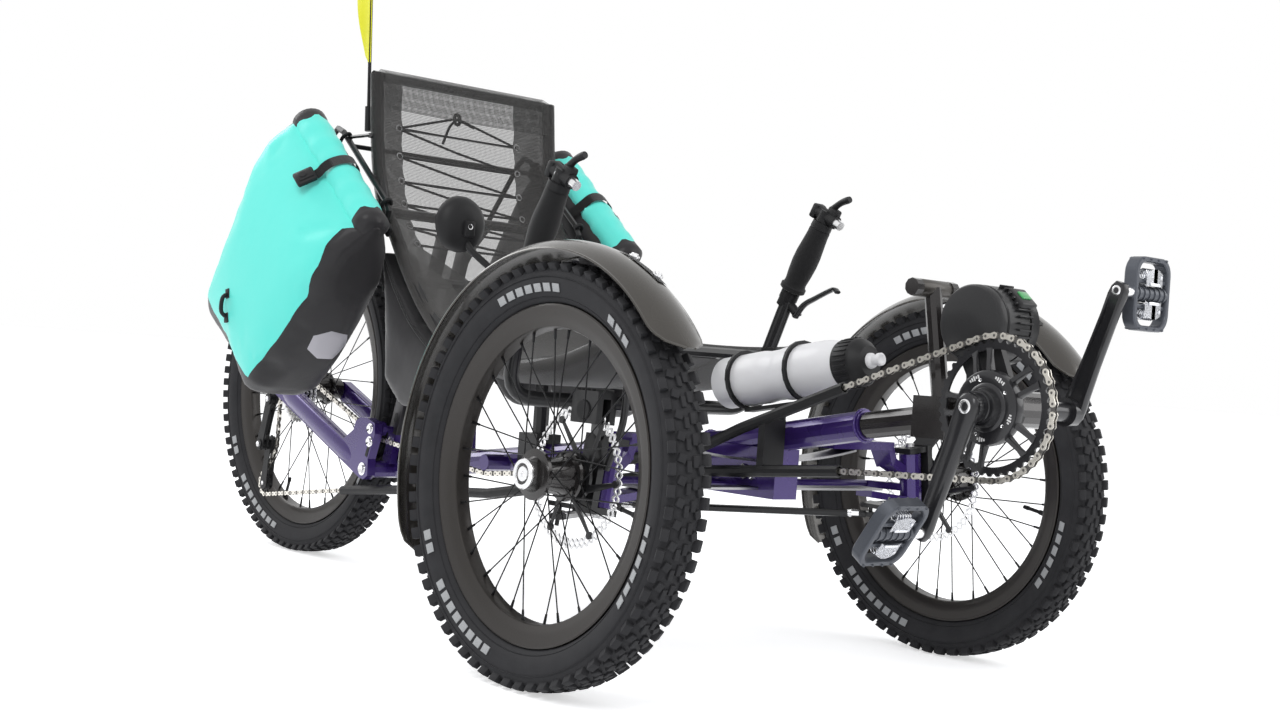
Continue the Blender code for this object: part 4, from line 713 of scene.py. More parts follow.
pipe(laces, [on_seat(top_row, lace_side, lace_depth), on_seat(knot_row, 0.006, lace_depth + 0.003)],
     lace_radius)
pipe(laces, [on_seat(top_row, -lace_side, lace_depth), on_seat(knot_row, -0.006, lace_depth + 0.003)],
     lace_radius)
for reach, drop, swell in ((0.036, 0.6, 0.006), (-0.030, 3.0, 0.004)):
    pipe(laces, smooth([on_seat(knot_row, 0, lace_depth + 0.003),
                        on_seat(knot_row + drop * 0.3, reach * 0.5, lace_depth + swell),
                        on_seat(knot_row + drop, reach, lace_depth + 0.004)], 4), 0.0024)
knot_ring = [on_seat(knot_row + 0.55 * math.sin(t), 0.0058 * math.cos(t), lace_depth + 0.003)
             for t in (math.tau * i / 12 for i in range(12))]
pipe(laces, knot_ring, 0.0033, 6, closed=True)
seat_eyelets = piece("seat_eyelets", eyelets, bolt_steel, "chassis", 60)
seat_laces = piece("seat_laces", laces, lace_black, "chassis", 60)
hem_shares = [j / 6 - 1 for j in range(13)]
hem_rows = [[on_seat(row, seat_half * share * 0.955,
                     -rail_wrap + 0.0118 * (1 - share * share) ** 0.75 - 0.0009)
             for share in hem_shares] for row in (0.0, 1.0, 2.0, 3.0, 3.6)]
for depth, lift in ((0.004, 0.010), (0.021, 0.004)):
    hem_rows.insert(0, [on_seat(0, seat_half * share * 0.955, depth) + Vector((0, 0, lift))
                        for share in hem_shares])
seat_hem = piece("seat_hem", grid(hem_rows), hem_weave, "chassis", 60)


# Panniers: roll-top bags of coated fabric, sea green on the outer face and the roll, black nylon on the
# gussets, welded at the seams and stuffed full, with a black webbing strap, a side-release buckle and a
# grey reflector.

pannier_inner, pannier_outer = 0.2010, 0.345
pannier_tilt = math.radians(39.0)
pannier_height = 0.410
bag_x = Vector((1, 0, 0))
bag_along = Vector((0, math.cos(pannier_tilt), math.sin(pannier_tilt)))
bag_rise = Vector((0, -math.sin(pannier_tilt), math.cos(pannier_tilt)))
bag_stub = on_frame(0.8333 + (0.8065 - 0.8333) * 0.20, 0.4600 + (0.3955 - 0.4600) * 0.20)
bag_centre = bag_stub - bag_along * 0.0091 - bag_rise * 0.170
# Sections from foot to top, as shares: height, front length, rear length, depth off the inner face and the
# outer.
bag_sections = [(-0.500, 0.66, 0.48, 0.16, 0.30), (-0.480, 0.80, 0.62, 0.05, 0.09),
                (-0.400, 0.93, 0.71, 0.0, 0.02),
                (-0.200, 1.04, 0.78, 0.0, 0.0), (0.0, 1.08, 0.86, 0.0, 0.0), (0.20, 1.08, 0.92, 0.0, 0.015),
                (0.32, 1.03, 0.96, 0.06, 0.10), (0.40, 1.00, 0.985, 0.18, 0.28),
                (0.450, 0.99, 0.99, 0.30, 0.48)]


def on_bag(side, run, rise):
    """A point of the left bag: distance from the middle plane, along the bag, and up it."""
    return bag_centre + bag_x * side + bag_along * run + bag_rise * rise


def skinned(bm, rings):
    """Faces from each ring of corners to the next."""
    for first, second in zip(rings, rings[1:]):
        for j in range(len(first)):
            bm.faces.new((first[j - 1], first[j], second[j], second[j - 1]))


def loft(rows):
    """A closed shell over rings of points, capped at both ends."""
    bm = bmesh.new()
    rings = [[bm.verts.new(point) for point in row] for row in rows]
    skinned(bm, rings)
    bm.faces.new(rings[0])
    bm.faces.new(rings[-1][::-1])
    bmesh.ops.recalc_face_normals(bm, faces=bm.faces)
    return bm


def rounded_box(low, high, half, corner, steps=5):
    """A rounded rectangle's points: (side, run)."""
    points = []
    for side, run, start in ((high - corner, half - corner, 0.0), (low + corner, half - corner, 90.0),
                             (low + corner, corner - half, 180.0), (high - corner, corner - half, 270.0)):
        for i in range(steps + 1):
            turn = math.radians(start + 90.0 * i / steps)
            points.append((side + corner * math.cos(turn), run + corner * math.sin(turn)))
    return points


def stuffed(bm, voxel, still, pressure, frames=20):
    """A bag's skin after a short cloth simulation under light pressure. still(point) holds a point."""
    mesh = bpy.data.meshes.new("stuffed")
    bm.to_mesh(mesh)
    bm.free()
    work = bpy.data.objects.new("stuffed", mesh)
    bpy.context.scene.collection.objects.link(work)
    even = work.modifiers.new("even", "REMESH")
    even.mode, even.voxel_size = "VOXEL", voxel
    work.data = bpy.data.meshes.new_from_object(work.evaluated_get(bpy.context.evaluated_depsgraph_get()))
    work.modifiers.clear()
    group = work.vertex_groups.new(name="still")
    group.add([vert.index for vert in work.data.vertices if still(vert.co)], 1.0, "REPLACE")
    cloth = work.modifiers.new("cloth", "CLOTH")
    rules = cloth.settings
    rules.quality, rules.mass, rules.vertex_group_mass = 6, 0.25, "still"
    rules.use_pressure, rules.uniform_pressure_force = True, pressure
    rules.tension_stiffness = rules.compression_stiffness = 25.0
    rules.shear_stiffness, rules.bending_stiffness = 10.0, 2.0
    rules.effector_weights.gravity = 0.0
    for moment in range(1, frames + 1):
        bpy.context.scene.frame_set(moment)
    settled = bpy.data.meshes.new_from_object(work.evaluated_get(bpy.context.evaluated_depsgraph_get()))
    bpy.data.objects.remove(work)
    bpy.context.scene.frame_set(1)
    made = bmesh.new()
    made.from_mesh(settled)
    bpy.data.meshes.remove(settled)
    bmesh.ops.smooth_vert(made, verts=made.verts, factor=0.5, use_axis_x=True, use_axis_y=True,
                          use_axis_z=True)
    return made


def mirrored(bm):
    """The same shape on the other side of the machine."""
    copied = bm.copy()
    moved(copied, Matrix.Diagonal((-1, 1, 1, 1)))
    bmesh.ops.reverse_faces(copied, faces=copied.faces)
    return copied


# The green panel's front edge, from its foot to its top: (rise, run).
panel_edges = [(-0.205, -0.110), (-0.144, -0.125), (-0.102, -0.137), (-0.065, -0.145), (-0.016, -0.152),
               (0.041, -0.156),
               (0.100, -0.150), (0.142, -0.134), (0.158, -0.130), (0.168, -0.138), (0.178, -0.150),
               (0.215, -0.160)]


def panel_depth(side, run, rise):
    """How far inside the green panel a point is."""
    for low, high in zip(panel_edges, panel_edges[1:]):
        if rise <= high[0]:
            break
    share = max(0.0, (rise - low[0]) / (high[0] - low[0]))
    front = low[1] + (high[1] - low[1]) * share
    return min(run - front, 0.140 - run, rise + 0.166, side - 0.318 + max(0.0, rise - 0.08) * 0.64)


def bag_finish(name, colour, roughness, sheen):
    """Coated fabric: a fine weave under the coat and slow creases."""
    finish = Finish(name, colour, roughness, coat=0.12, sheen=sheen)
    cloud = finish.noise(16.0, 3.0)
    finish.colour(finish.blend(cloud, tuple(c * 0.86 for c in colour),
                               tuple(min(1.0, c * 1.1) for c in colour)))
    return finish.bump(finish.noise(1100.0, 1.0) * 0.12 + finish.noise(22.0, 2.0), 0.0035, 0.35)


sea_green = (0.140, 0.86, 0.76)
gusset_black = (0.020, 0.019, 0.021)
nylon = bag_finish("gusset_nylon", gusset_black, 0.55, 0.35)
two_tone = bag_finish("pannier_skin", sea_green, 0.40, 0.1)
panel = two_tone.node("ShaderNodeAttribute", {"attribute_name": "panel"}).outputs["Fac"]
two_tone.colour(two_tone.blend(Number(two_tone, panel) > 0.0, gusset_black, sea_green))
two_tone.rough((Number(two_tone, panel) > 0.0) * -0.14 + 0.54)
webbing = Finish("webbing_black", (0.016, 0.016, 0.017), 0.7, sheen=0.3)
webbing.bump(webbing.noise(700.0, 1.0, (1, 3, 1)), 0.0005, 0.5)
reflective = Finish("reflector_grey", (0.50, 0.49, 0.53), 0.35, 0.3)
reflective.rough(reflective.noise(800.0, 1.0) * 0.3 + 0.25)

bag_rings = []
for height, front, rear, near, far in bag_sections:
    depth = pannier_outer - pannier_inner
    low, high = pannier_inner + 0.002 + depth * near, pannier_outer - 0.006 - depth * far
    corner = min(0.032, (high - low) * 0.45)
    bag_rings.append([on_bag(side, run * (rear if run > 0 else front), pannier_height * height)
                      for side, run in rounded_box(low, high, 0.156, corner)])
bag = stuffed(loft(bag_rings), 0.0075, lambda co: co.x < pannier_inner
              + 0.010 or (co - bag_centre).dot(bag_rise) > 0.172, 2.2)
layer = bag.verts.layers.float.new("panel")
for vert in bag.verts:
    place = vert.co - bag_centre
    vert[layer] = panel_depth(place.x, place.dot(bag_along), place.dot(bag_rise))
roll_side, roll_rise, roll_radius = pannier_inner + 0.060, 0.1765, 0.0265
roll_rows = []
for i in range(29):
    run = 0.152 * (i / 14 - 1)
    edge = 1 - max(0.0, (abs(run) - 0.138) / 0.014) ** 2 * 0.35
    sag = 1 + 0.05 * math.sin(i * 1.7) * math.exp(-abs(run) * 4)
    pinch = 1 - 0.10 * math.exp(-((run - 0.012) / 0.020) ** 2)
    row = []
    for j in range(24):
        turn = math.tau * j / 24
        step = 0.0025 * (1 - ((turn / math.tau + 0.55) % 1.0))
        size = (roll_radius + step) * edge * sag * pinch
        row.append(on_bag(roll_side + size * 1.06 * math.cos(turn), run,
                          roll_rise + size * 0.94 * math.sin(turn)))
    roll_rows.append(row)
roll = loft(roll_rows)
layer = roll.verts.layers.float.new("panel")
for vert in roll.verts:
    vert[layer] = 0.122 - abs((vert.co - bag_centre).dot(bag_along)) + 0.004 * math.sin(vert.co.x * 220)

strap_at = -0.004
strap_line = [(pannier_inner + 0.003, 0.095), (pannier_inner + 0.006, 0.140), (pannier_inner + 0.028, 0.178),
              (pannier_inner + 0.042, 0.2010), (pannier_inner + 0.062, 0.2060),
              (pannier_inner + 0.084, 0.1960),
              (pannier_inner + 0.0945, 0.183), (pannier_inner + 0.0985, 0.172),
              (pannier_inner + 0.108, 0.162)]
strap_path = smooth([on_bag(side, strap_at, rise) for side, rise in strap_line], 4)
strap_rows = [[point + bag_along * width for width in (-0.0105, 0.0105)] for point in strap_path]
strap = grid(strap_rows)
bmesh.ops.solidify(strap, geom=strap.faces[:], thickness=0.0018)
buckle = bmesh.new()
buckle_end = on_bag(*[(a * 0.25 + b * 0.75) for a, b in zip((strap_line[-2][0], strap_at, strap_line[-2][1]),
                                                           (strap_line[-1][0], strap_at, strap_line[-1][1]))])
face_way = (bag_x * 0.62 + bag_rise * 0.78).normalized()
fall = (bag_x * 0.78 - bag_rise * 0.62).normalized()
buckle_frame = Matrix((bag_along, -fall, face_way)).transposed().to_4x4()
buckle_frame.translation = buckle_end + fall * 0.012 + face_way * 0.005
slab(buckle, (0.030, 0.034, 0.0085), buckle_frame, 0.0032)
slab(buckle, (0.019, 0.026, 0.0050), buckle_frame @ Matrix.Translation((0, 0.001, 0.0042)), 0.0018)
rod(buckle, buckle_frame @ Vector((0, -0.002, 0.0060)), buckle_frame @ Vector((0, -0.002, 0.0085)), 0.0062,
    0.0055, 20)
tree = BVHTree.FromBMesh(bag)
loop_middle = tree.ray_cast(on_bag(0.50, -0.003, -0.111), -bag_x)[0] - bag_x * 0.001
loop_way = (bag_along * 0.65 + bag_rise * 0.76).normalized()
loop_bm = bmesh.new()
pipe(loop_bm, smooth([loop_middle + loop_way * 0.020, loop_middle + bag_x * 0.010 + loop_way * 0.012,
                      loop_middle + bag_x * 0.011 - loop_way * 0.010, loop_middle - loop_way * 0.020], 5),
                      0.0036)
for end in (-0.020, 0.020):
    slab(loop_bm, (0.006, 0.012, 0.016), Matrix.Translation(loop_middle + loop_way * end)
         @ Matrix.Rotation(pannier_tilt - 0.86, 4, "X"), 0.001)
# Reflector patch, laid on the front gusset.
patch = bmesh.new()
patch_shape = [(-0.034, -0.004), (-0.022, 0.022), (0.012, 0.030), (0.040, 0.018), (0.038, -0.012),
               (0.010, -0.033), (-0.020, -0.034)]
patch_centre = Vector((0.250, 0.0, -0.045))
rim_points = [Vector((patch_centre.x + a, 0, patch_centre.z + b)) for a, b in patch_shape]
rings = []
for share in (1.0, 0.8, 0.55, 0.25):
    row = []
    for i in range(len(rim_points) * 4):
        first, second = rim_points[i // 4], rim_points[(i // 4 + 1) % len(rim_points)]
        flat = patch_centre.lerp(first.lerp(second, i % 4 / 4), share)
        start = on_bag(flat.x, -0.30, flat.z)
        hit = tree.ray_cast(start, bag_along)[0]
        row.append(patch.verts.new(
            (hit or on_bag(flat.x, -0.13, flat.z)) - bag_along * (0.0016 if share < 1 else 0.0003)))
    rings.append(row)
skinned(patch, rings)
patch.faces.new(rings[-1])
hooks = bmesh.new()
slab(hooks, (0.006, 0.250, 0.018), Matrix.Translation(on_bag(pannier_inner + 0.004, 0.010, 0.150))
     @ Matrix.Rotation(pannier_tilt, 4, "X"), 0.002)
for run in (-0.062, 0.118):
    hook = [on_bag(pannier_inner + 0.004, run, 0.150), on_bag(pannier_inner + 0.003, run, 0.172),
            on_bag(0.1955, run, 0.1785),
            on_bag(0.1885, run, 0.170)]
    pipe(hooks, smooth(hook, 4), 0.0032)
for word, turn in (("left", lambda bm: bm), ("right", mirrored)):
    for name, bm, finish in (("pannier", bag, two_tone), ("pannier_roll", roll, two_tone),
                             ("pannier_strap", strap, webbing),
                             ("pannier_buckle", buckle, moulded), ("pannier_loop", loop_bm, moulded),
                             ("pannier_reflector", patch, reflective), ("pannier_hooks", hooks, moulded)):
        made = piece(f"{name}_soft_{word}" if name == "pannier" else f"{name}_{word}", turn(bm.copy()),
                     finish, "chassis", 50)
        if name == "pannier":
            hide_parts(f"pannier_{word}")


# Mudguards: crowned polycarbonate strips in a glossy warm grey, the edges rolled, each carried by one bent
# black steel stay and a black clip plate with two silver bolts. The tips are rounded off.

guard_radius, guard_half, guard_crown = 0.290, 0.0377, 0.014
guard_front, guard_rear = math.radians(-55.0), math.radians(116.0)
guard_gloss = coated("guard_gloss", (0.040, 0.036, 0.031), 0.24, 0.35, 0.7, 0.35)


def guard_point(share, turn, lift=0.0):
    """A point on the mudguard: share of its half width, angle from the top, and lift off its outer face."""
    radius = guard_radius - guard_crown * abs(share) ** 2.2 + lift
    return Vector((guard_half * share, radius * math.sin(turn), radius * math.cos(turn)))


def guard_strip():
    """The strip with its rolled edges and rounded tips, about the wheel's own X axis."""
    bm = bmesh.new()
    rows, edges = [], ([], [])
    steps = 72
    for i in range(steps + 1):
        turn = guard_front + (guard_rear - guard_front) * i / steps
        run = min(turn - guard_front, guard_rear - turn) / math.radians(9.0)
        narrow = math.sqrt(max(0.0, 1 - (1 - min(1.0, run)) ** 2)) * 0.82 + 0.18
        line = [guard_point(narrow * (j / 6 - 1), turn) for j in range(13)]
        under = [guard_point(narrow * (j / 6 - 1), turn, -0.0014) for j in range(13)]
        rows.append([bm.verts.new(point) for point in line + under[::-1]])
        for share, edge in ((narrow, edges[0]), (-narrow, edges[1])):
            edge.append(guard_point(share, turn, -0.0010))
    skinned(bm, rows)
    bm.faces.new(rows[0])
    bm.faces.new(rows[-1][::-1])
    for edge in edges:
        pipe(bm, edge, 0.0017, 6)
    return bm


for side, word in sides:
    lie = axle_frame(f"wheel_{word}_spin")
    body = f"knuckle_{word}"
    strip = placed(f"mudguard_{word}", guard_strip(), lie, guard_gloss, body, 50)
    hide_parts(f"guard_{word}")
    centre, way = joint(f"knuckle_{word}_turn")
    stay = bmesh.new()
    ahead = Vector((0, -math.sin(math.radians(21)), math.cos(math.radians(21))))
    foot = centre + way * 0.010 + Vector((side * 0.0205, -0.0228, 0.0))
    inner = [lie @ (Vector((-side * inboard, 0, 0)) + ahead * (guard_radius - inside))
             for inboard, inside in ((0.044, 0.040), (0.036, 0.016), (0.010, 0.0040))]
    pipe(stay, smooth([foot, foot + Vector((0, -0.026, 0.060)),
                       foot.lerp(inner[0], 0.55) + Vector((0, -0.006, 0.004)), *inner], 5),
         0.0045, 12)
    plate_rows = []
    for i in range(9):
        turn = math.radians(-34 + 17 * i / 8)
        wide = 0.22 + 0.10 * math.sin(math.pi * i / 8)
        plate_rows.append([lie @ guard_point(-side * 0.42 + share, turn, 0.0012)
                           for share in (-wide, -wide / 2, 0, wide / 2, wide)])
    plate = grid(plate_rows)
    bmesh.ops.solidify(plate, geom=plate.faces[:], thickness=0.0022)
    joined(stay, plate)
    piece(f"mudguard_stay_{word}", stay, black_coat, body, 50)
    bolts = bmesh.new()
    for turn_deg in (-31, -21):
        top = lie @ guard_point(-side * 0.42, math.radians(turn_deg), 0.0030)
        out = top - (lie @ guard_point(-side * 0.42, math.radians(turn_deg), -0.0100))
        screw(bolts, top, out, 0.0050, 0.0032)
        rod(bolts, top - out.normalized() * 0.001, top + out.normalized() * 0.0008, 0.0068, segments=20)
    piece(f"mudguard_bolts_{word}", bolts, bright, body)


# Chain: 1/2 inch derailleur chain, pale plated outer plates and dark inner plates on rollers, pins riveted
# flush. It runs from the chainring through the two chain tubes to the cassette and the derailleur's
# pulleys.

chain_side, cog_side, chain_pitch = -0.055, -0.0468, 0.0127
bracket = joint("crank_spin")[0]
rear_axle = joint("rear_wheel_spin")[0]
pivot = on_frame(1.0, -0.0819)
arm_way = (rear_axle - pivot).normalized()
arm_rise = Vector((1, 0, 0)).cross(arm_way)
idler_cross = pivot + arm_way * 0.0098 + arm_rise * 0.0736


def belt(stops):
    """A closed line round wheels and through guides, from (place, radius, sense) stops."""
    flats = [Vector((place.y, place.z)) for place, _, _ in stops]
    ends = []
    for i, (_, radius, sense) in enumerate(stops):
        j = (i + 1) % len(stops)
        apart = flats[j] - flats[i]
        turn = math.asin((stops[j][1] * stops[j][2] - radius * sense) / apart.length)
        way = Vector((apart.x * math.cos(turn) + apart.y * math.sin(turn),
                      apart.y * math.cos(turn) - apart.x * math.sin(turn)))
        left = Vector((-way.y, way.x)).normalized()
        ends.append((flats[i] - left * radius * sense, flats[j] - left * stops[j][1] * stops[j][2]))
    line = []
    for i, (place, radius, sense) in enumerate(stops):
        if not radius:
            line.append(Vector(place))
            continue
        arrive, leave = ends[i - 1][1] - flats[i], ends[i][0] - flats[i]
        start = math.atan2(arrive.y, arrive.x)
        sweep = (math.atan2(leave.y, leave.x) - start) * sense % math.tau
        steps = max(4, math.ceil(sweep / math.radians(5)))
        for j in range(steps + 1):
            turn = start + sense * sweep * j / steps
            line.append(Vector((place.x, place.y + radius * math.cos(turn),
                                place.z + radius * math.sin(turn))))
    return line


def evenly(line, pitch):
    """Points a pitch apart along a closed line, the pitch eased to close it."""
    closed = [*line, line[0]]
    total = sum((b - a).length for a, b in zip(closed, closed[1:]))
    count = round(total / pitch / 2) * 2
    step, points, run = total / count, [], 0.0
    for a, b in zip(closed, closed[1:]):
        length = (b - a).length
        while len(points) * step < run + length and len(points) < count:
            points.append(a.lerp(b, (len(points) * step - run) / length))
        run += length
    return points


def guided(*shares):
    return [(on_frame(*share, side=chain_side), 0.0, 1) for share in shares]


upper_guides = guided((-0.1882, 0.1417), (0.0065, 0.0718), (0.0935, 0.0353), (0.3226, -0.0088),
                      (0.4839, -0.0400))
lower_guides = guided((-0.1903, 0.0277), (0.0957, 0.0009), (0.6237, -0.0884), (0.8699, -0.1077),
                      (1.1011, -0.1325))
cog_radius = 0.040
guide_pulley = rear_axle + Vector((cog_side, 0.063, -0.1145))
tension_pulley = rear_axle + Vector((cog_side, 0.073, -0.1905))
chain_run = belt([(bracket + Vector((chain_side, 0, 0)), 0.0849, -1), *upper_guides,
                  (on_frame(0.6344, -0.0357, side=chain_side), 0.018, 1),
                  (idler_cross + Vector((-0.053, 0, 0)), 0.018, 1),
                  (rear_axle + Vector((cog_side, 0, 0)), cog_radius, -1), (guide_pulley, 0.022, 1),
                  (tension_pulley, 0.022, -1),
                  *lower_guides[::-1]])
pins = evenly(chain_run, chain_pitch)


def link_plate(bm, first, second, offset, radius, waist, thickness):
    """One dog-bone side plate over two pins."""
    middle, way = first.lerp(second, 0.5), (second - first)
    half = way.length / 2
    way = way.normalized()
    rise = Vector((1, 0, 0)).cross(way).normalized()
    outline = []
    for end in (1, -1):
        for i in range(7):
            turn = math.radians(-118 + 236 * i / 6)
            outline.append(((half + radius * math.cos(turn)) * end, radius * math.sin(turn) * end))
        outline.append((0.0, waist * end))
    rings = [[bm.verts.new(middle + Vector((offset + out, 0, 0)) + way * a + rise * b) for a, b in outline]
             for out in (-thickness / 2, thickness / 2)]
    for j in range(len(outline)):
        bm.faces.new((rings[0][j - 1], rings[0][j], rings[1][j], rings[1][j - 1]))
    bm.faces.new(rings[0][::-1])
    bm.faces.new(rings[1])


plated = Finish("chain_plated", (0.72, 0.69, 0.63), 0.28, 1.0)
plated.rough(plated.noise(260.0) * 0.25 + 0.18)
oiled = Finish("chain_oiled", (0.13, 0.125, 0.12), 0.4, 0.9)
oiled.rough(oiled.noise(260.0) * 0.3 + 0.25)
outer_plates, inner_plates = bmesh.new(), bmesh.new()
for i, first in enumerate(pins):
    second = pins[(i + 1) % len(pins)]
    for side in (1, -1):
        if i % 2:
            link_plate(outer_plates, first, second, side * 0.0026, 0.0042, 0.0026, 0.0009)
        else:
            link_plate(inner_plates, first, second, side * 0.0016, 0.0041, 0.0027, 0.0009)
    x = Vector((1, 0, 0))
    rod(inner_plates, first - x * 0.0012, first + x * 0.0012, 0.0036, segments=8)
    for side in (1, -1):
        rod(inner_plates, first + x * side * 0.0029, first + x * side * 0.0034, 0.0019, 0.0015, 8)
outer = piece("chain_outer_plates", outer_plates, plated, "chassis", 30)
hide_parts("chain")
piece("chain_inner_plates", inner_plates, oiled, "chassis", 30)


# Cassette and derailleur: seven stamped sprockets with teeth on a black carrier, and a black derailleur whose
# two toothed pulleys turn between cage plates, held by bright pivot screws.

def toothed(bm, side, teeth, radius, inner, thickness, depth, centre=Vector()):
    """A toothed disc with a round hole about the X axis."""
    outer_line, inner_line = [], []
    for i in range(teeth * 4):
        turn = math.tau * i / (teeth * 4)
        reach = radius if i % 4 < 2 else radius - depth
        outer_line.append((reach * math.sin(turn), reach * math.cos(turn)))
        inner_line.append((inner * math.sin(turn), inner * math.cos(turn)))
    loops = [[bm.verts.new(centre + Vector((side + out, y, z))) for y, z in line]
             for out, line in ((-thickness / 2, inner_line), (-thickness / 2, outer_line),
                               (thickness / 2, outer_line),
                               (thickness / 2, inner_line))]
    skinned(bm, loops + loops[:1])


cogs, carrier = bmesh.new(), bmesh.new()
for i in range(7):
    radius = 0.072 - 0.008 * i
    teeth = round(math.tau * radius / chain_pitch)
    toothed(cogs, -0.0303 - (i + 0.19) * 0.00393, teeth, radius - 0.0046, radius - 0.017, 0.0016, 0.0032)
turned(carrier, [(-0.0303, 0.0105), (-0.0303, 0.050), (-0.0325, 0.050), (-0.0372, 0.037), (-0.0450, 0.024),
                 (-0.0565, 0.0150),
                 (-0.0574, 0.0135), (-0.0574, 0.0105)], 32)
lie = axle_frame("rear_wheel_spin")
made = placed("cassette_sprockets", cogs, lie, rotor_steel, "wheel_rear", 30)
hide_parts("cassette")
placed("cassette_carrier", carrier, lie, moulded, "wheel_rear", 30)

mech = bmesh.new()
for offset in (0.0065, -0.0065):
    link_plate(mech, guide_pulley, tension_pulley, offset, 0.0125, 0.0085, 0.0018)
knuckle = rear_axle + Vector((-0.067, 0.037, -0.0265))
knee = Vector((-0.067, guide_pulley.y, guide_pulley.z))
for out in (0.0048, -0.0048):
    link_plate(mech, knuckle, knee, out, 0.0125, 0.0095, 0.0028)
slab(mech, (0.0085, 0.018, 0.050), along(knuckle.lerp(knee, 0.28), knee) @ Matrix.Translation((0, 0, 0.020)),
     0.003)
rod(mech, knuckle + Vector((-0.009, 0, 0)), knuckle + Vector((0.009, 0, 0)), 0.0105, segments=24)
rod(mech, knee + Vector((-0.008, 0, 0)), guide_pulley + Vector((-0.0060, 0, 0)), 0.0095, segments=24)
made = piece("derailleur_body", mech, moulded, "chassis", 35)
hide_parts("derailleur")
pulleys, mech_screws = bmesh.new(), bmesh.new()
for place in (guide_pulley, tension_pulley):
    toothed(pulleys, 0.0, 11, 0.0176, 0.0062, 0.0030, 0.0030, place)
    for side in (1, -1):
        screw(mech_screws, place + Vector((side * 0.0074, 0, 0)), Vector((side, 0, 0)), 0.0042, 0.0018)
for place in (knuckle + Vector((-0.009, 0, 0)), knee + Vector((-0.008, 0, 0))):
    screw(mech_screws, place, Vector((-1, 0, 0)), 0.0058, 0.0022)
piece("derailleur_pulleys", pulleys, moulded, "chassis", 30)
piece("derailleur_screws", mech_screws, bright, "chassis")


# Crankset: forged black alloy arms, tapered and hollowed along their outer face, on a splined spindle, with a
# 42-tooth black chainring on a deep dished spider. Self-extracting bolts and pedal eyes show bright metal.

crank_turn = math.radians(160.0)
crank_way = Vector((0, math.sin(crank_turn), math.cos(crank_turn)))
crank_black = coated("crank_black", (0.016, 0.016, 0.018), 0.30, 0.35, 0.5, 0.6)
ring_radius, ring_teeth = 0.0801, 42
arms, ring_bm, crank_bright = bmesh.new(), bmesh.new(), bmesh.new()
toothed(ring_bm, chain_side, ring_teeth, ring_radius, 0.0690, 0.0028, 0.0034, bracket)
for i in range(10):
    turn = math.tau * (i // 2) / 5 + 0.3 + (0.26 if i % 2 else -0.26)
    away, over = Vector((0, math.sin(turn), math.cos(turn))), Vector((0, math.cos(turn), -math.sin(turn)))
    lean = over * (-0.0075 if i % 2 else 0.0075)
    sections = []
    for reach, half, near, deep in ((0.036, 0.0046, -0.0665, -0.0560), (0.050, 0.0036, -0.0635, -0.0555),
                                    (0.062, 0.0034, -0.0600, -0.0552),
                                    (0.0705, 0.0050, -0.0580, -0.0548)):
        shift = lean * ((reach - 0.036) / 0.0345)
        sections.append([bracket + away * reach + shift + over * (half * a)
                         + Vector((near + (deep - near) * b, 0, 0))
                         for a, b in ((-1, 0.35), (-0.72, 0), (0.72, 0), (1, 0.35), (1, 1), (-1, 1))])
    joined(ring_bm, loft(sections))
    if i % 2:
        middle = math.tau * (i // 2) / 5 + 0.3
        out = Vector((0, math.sin(middle), math.cos(middle)))
        screw(crank_bright, bracket + out * 0.0330 + Vector((-0.0695, 0, 0)), Vector((-1, 0, 0)), 0.0022,
              0.0012)
# Rows of light bars round the cover.
marks = bmesh.new()
for turn, count in ((0.35, 5), (1.75, 4), (3.1, 4), (5.6, 5)):
    for k in range(count):
        lie = Matrix.Translation(bracket) @ Matrix.Rotation(turn + 0.085 * k, 4, "X") @ Matrix.Translation(
            (-0.0702, 0, 0.0375))
        slab(marks, (0.0006, 0.0019, 0.0044 + 0.0014 * ((k * 7) % 3 - 1)), lie)
mark_white = Finish("mark_white", (0.75, 0.75, 0.75), 0.6)
mark_white.rough(mark_white.noise(200.0) * 0.2 + 0.5)
piece("cover_marks", marks, mark_white, "crankset", 40)
boss = [(-0.0560, 0.0122), (-0.0560, 0.0440), (-0.0640, 0.0450), (-0.0690, 0.0435), (-0.0700, 0.0415),
        (-0.0700, 0.0290), (-0.0712, 0.0270),
        (-0.0716, 0.0240), (-0.0800, 0.0215), (-0.0805, 0.0190),
        (-0.0860, 0.0190), (-0.0865, 0.0175), (-0.0930, 0.0175)]
turned(ring_bm, boss, 40)
for vert in ring_bm.verts:
    if vert.co.length < 0.2:
        vert.co += bracket
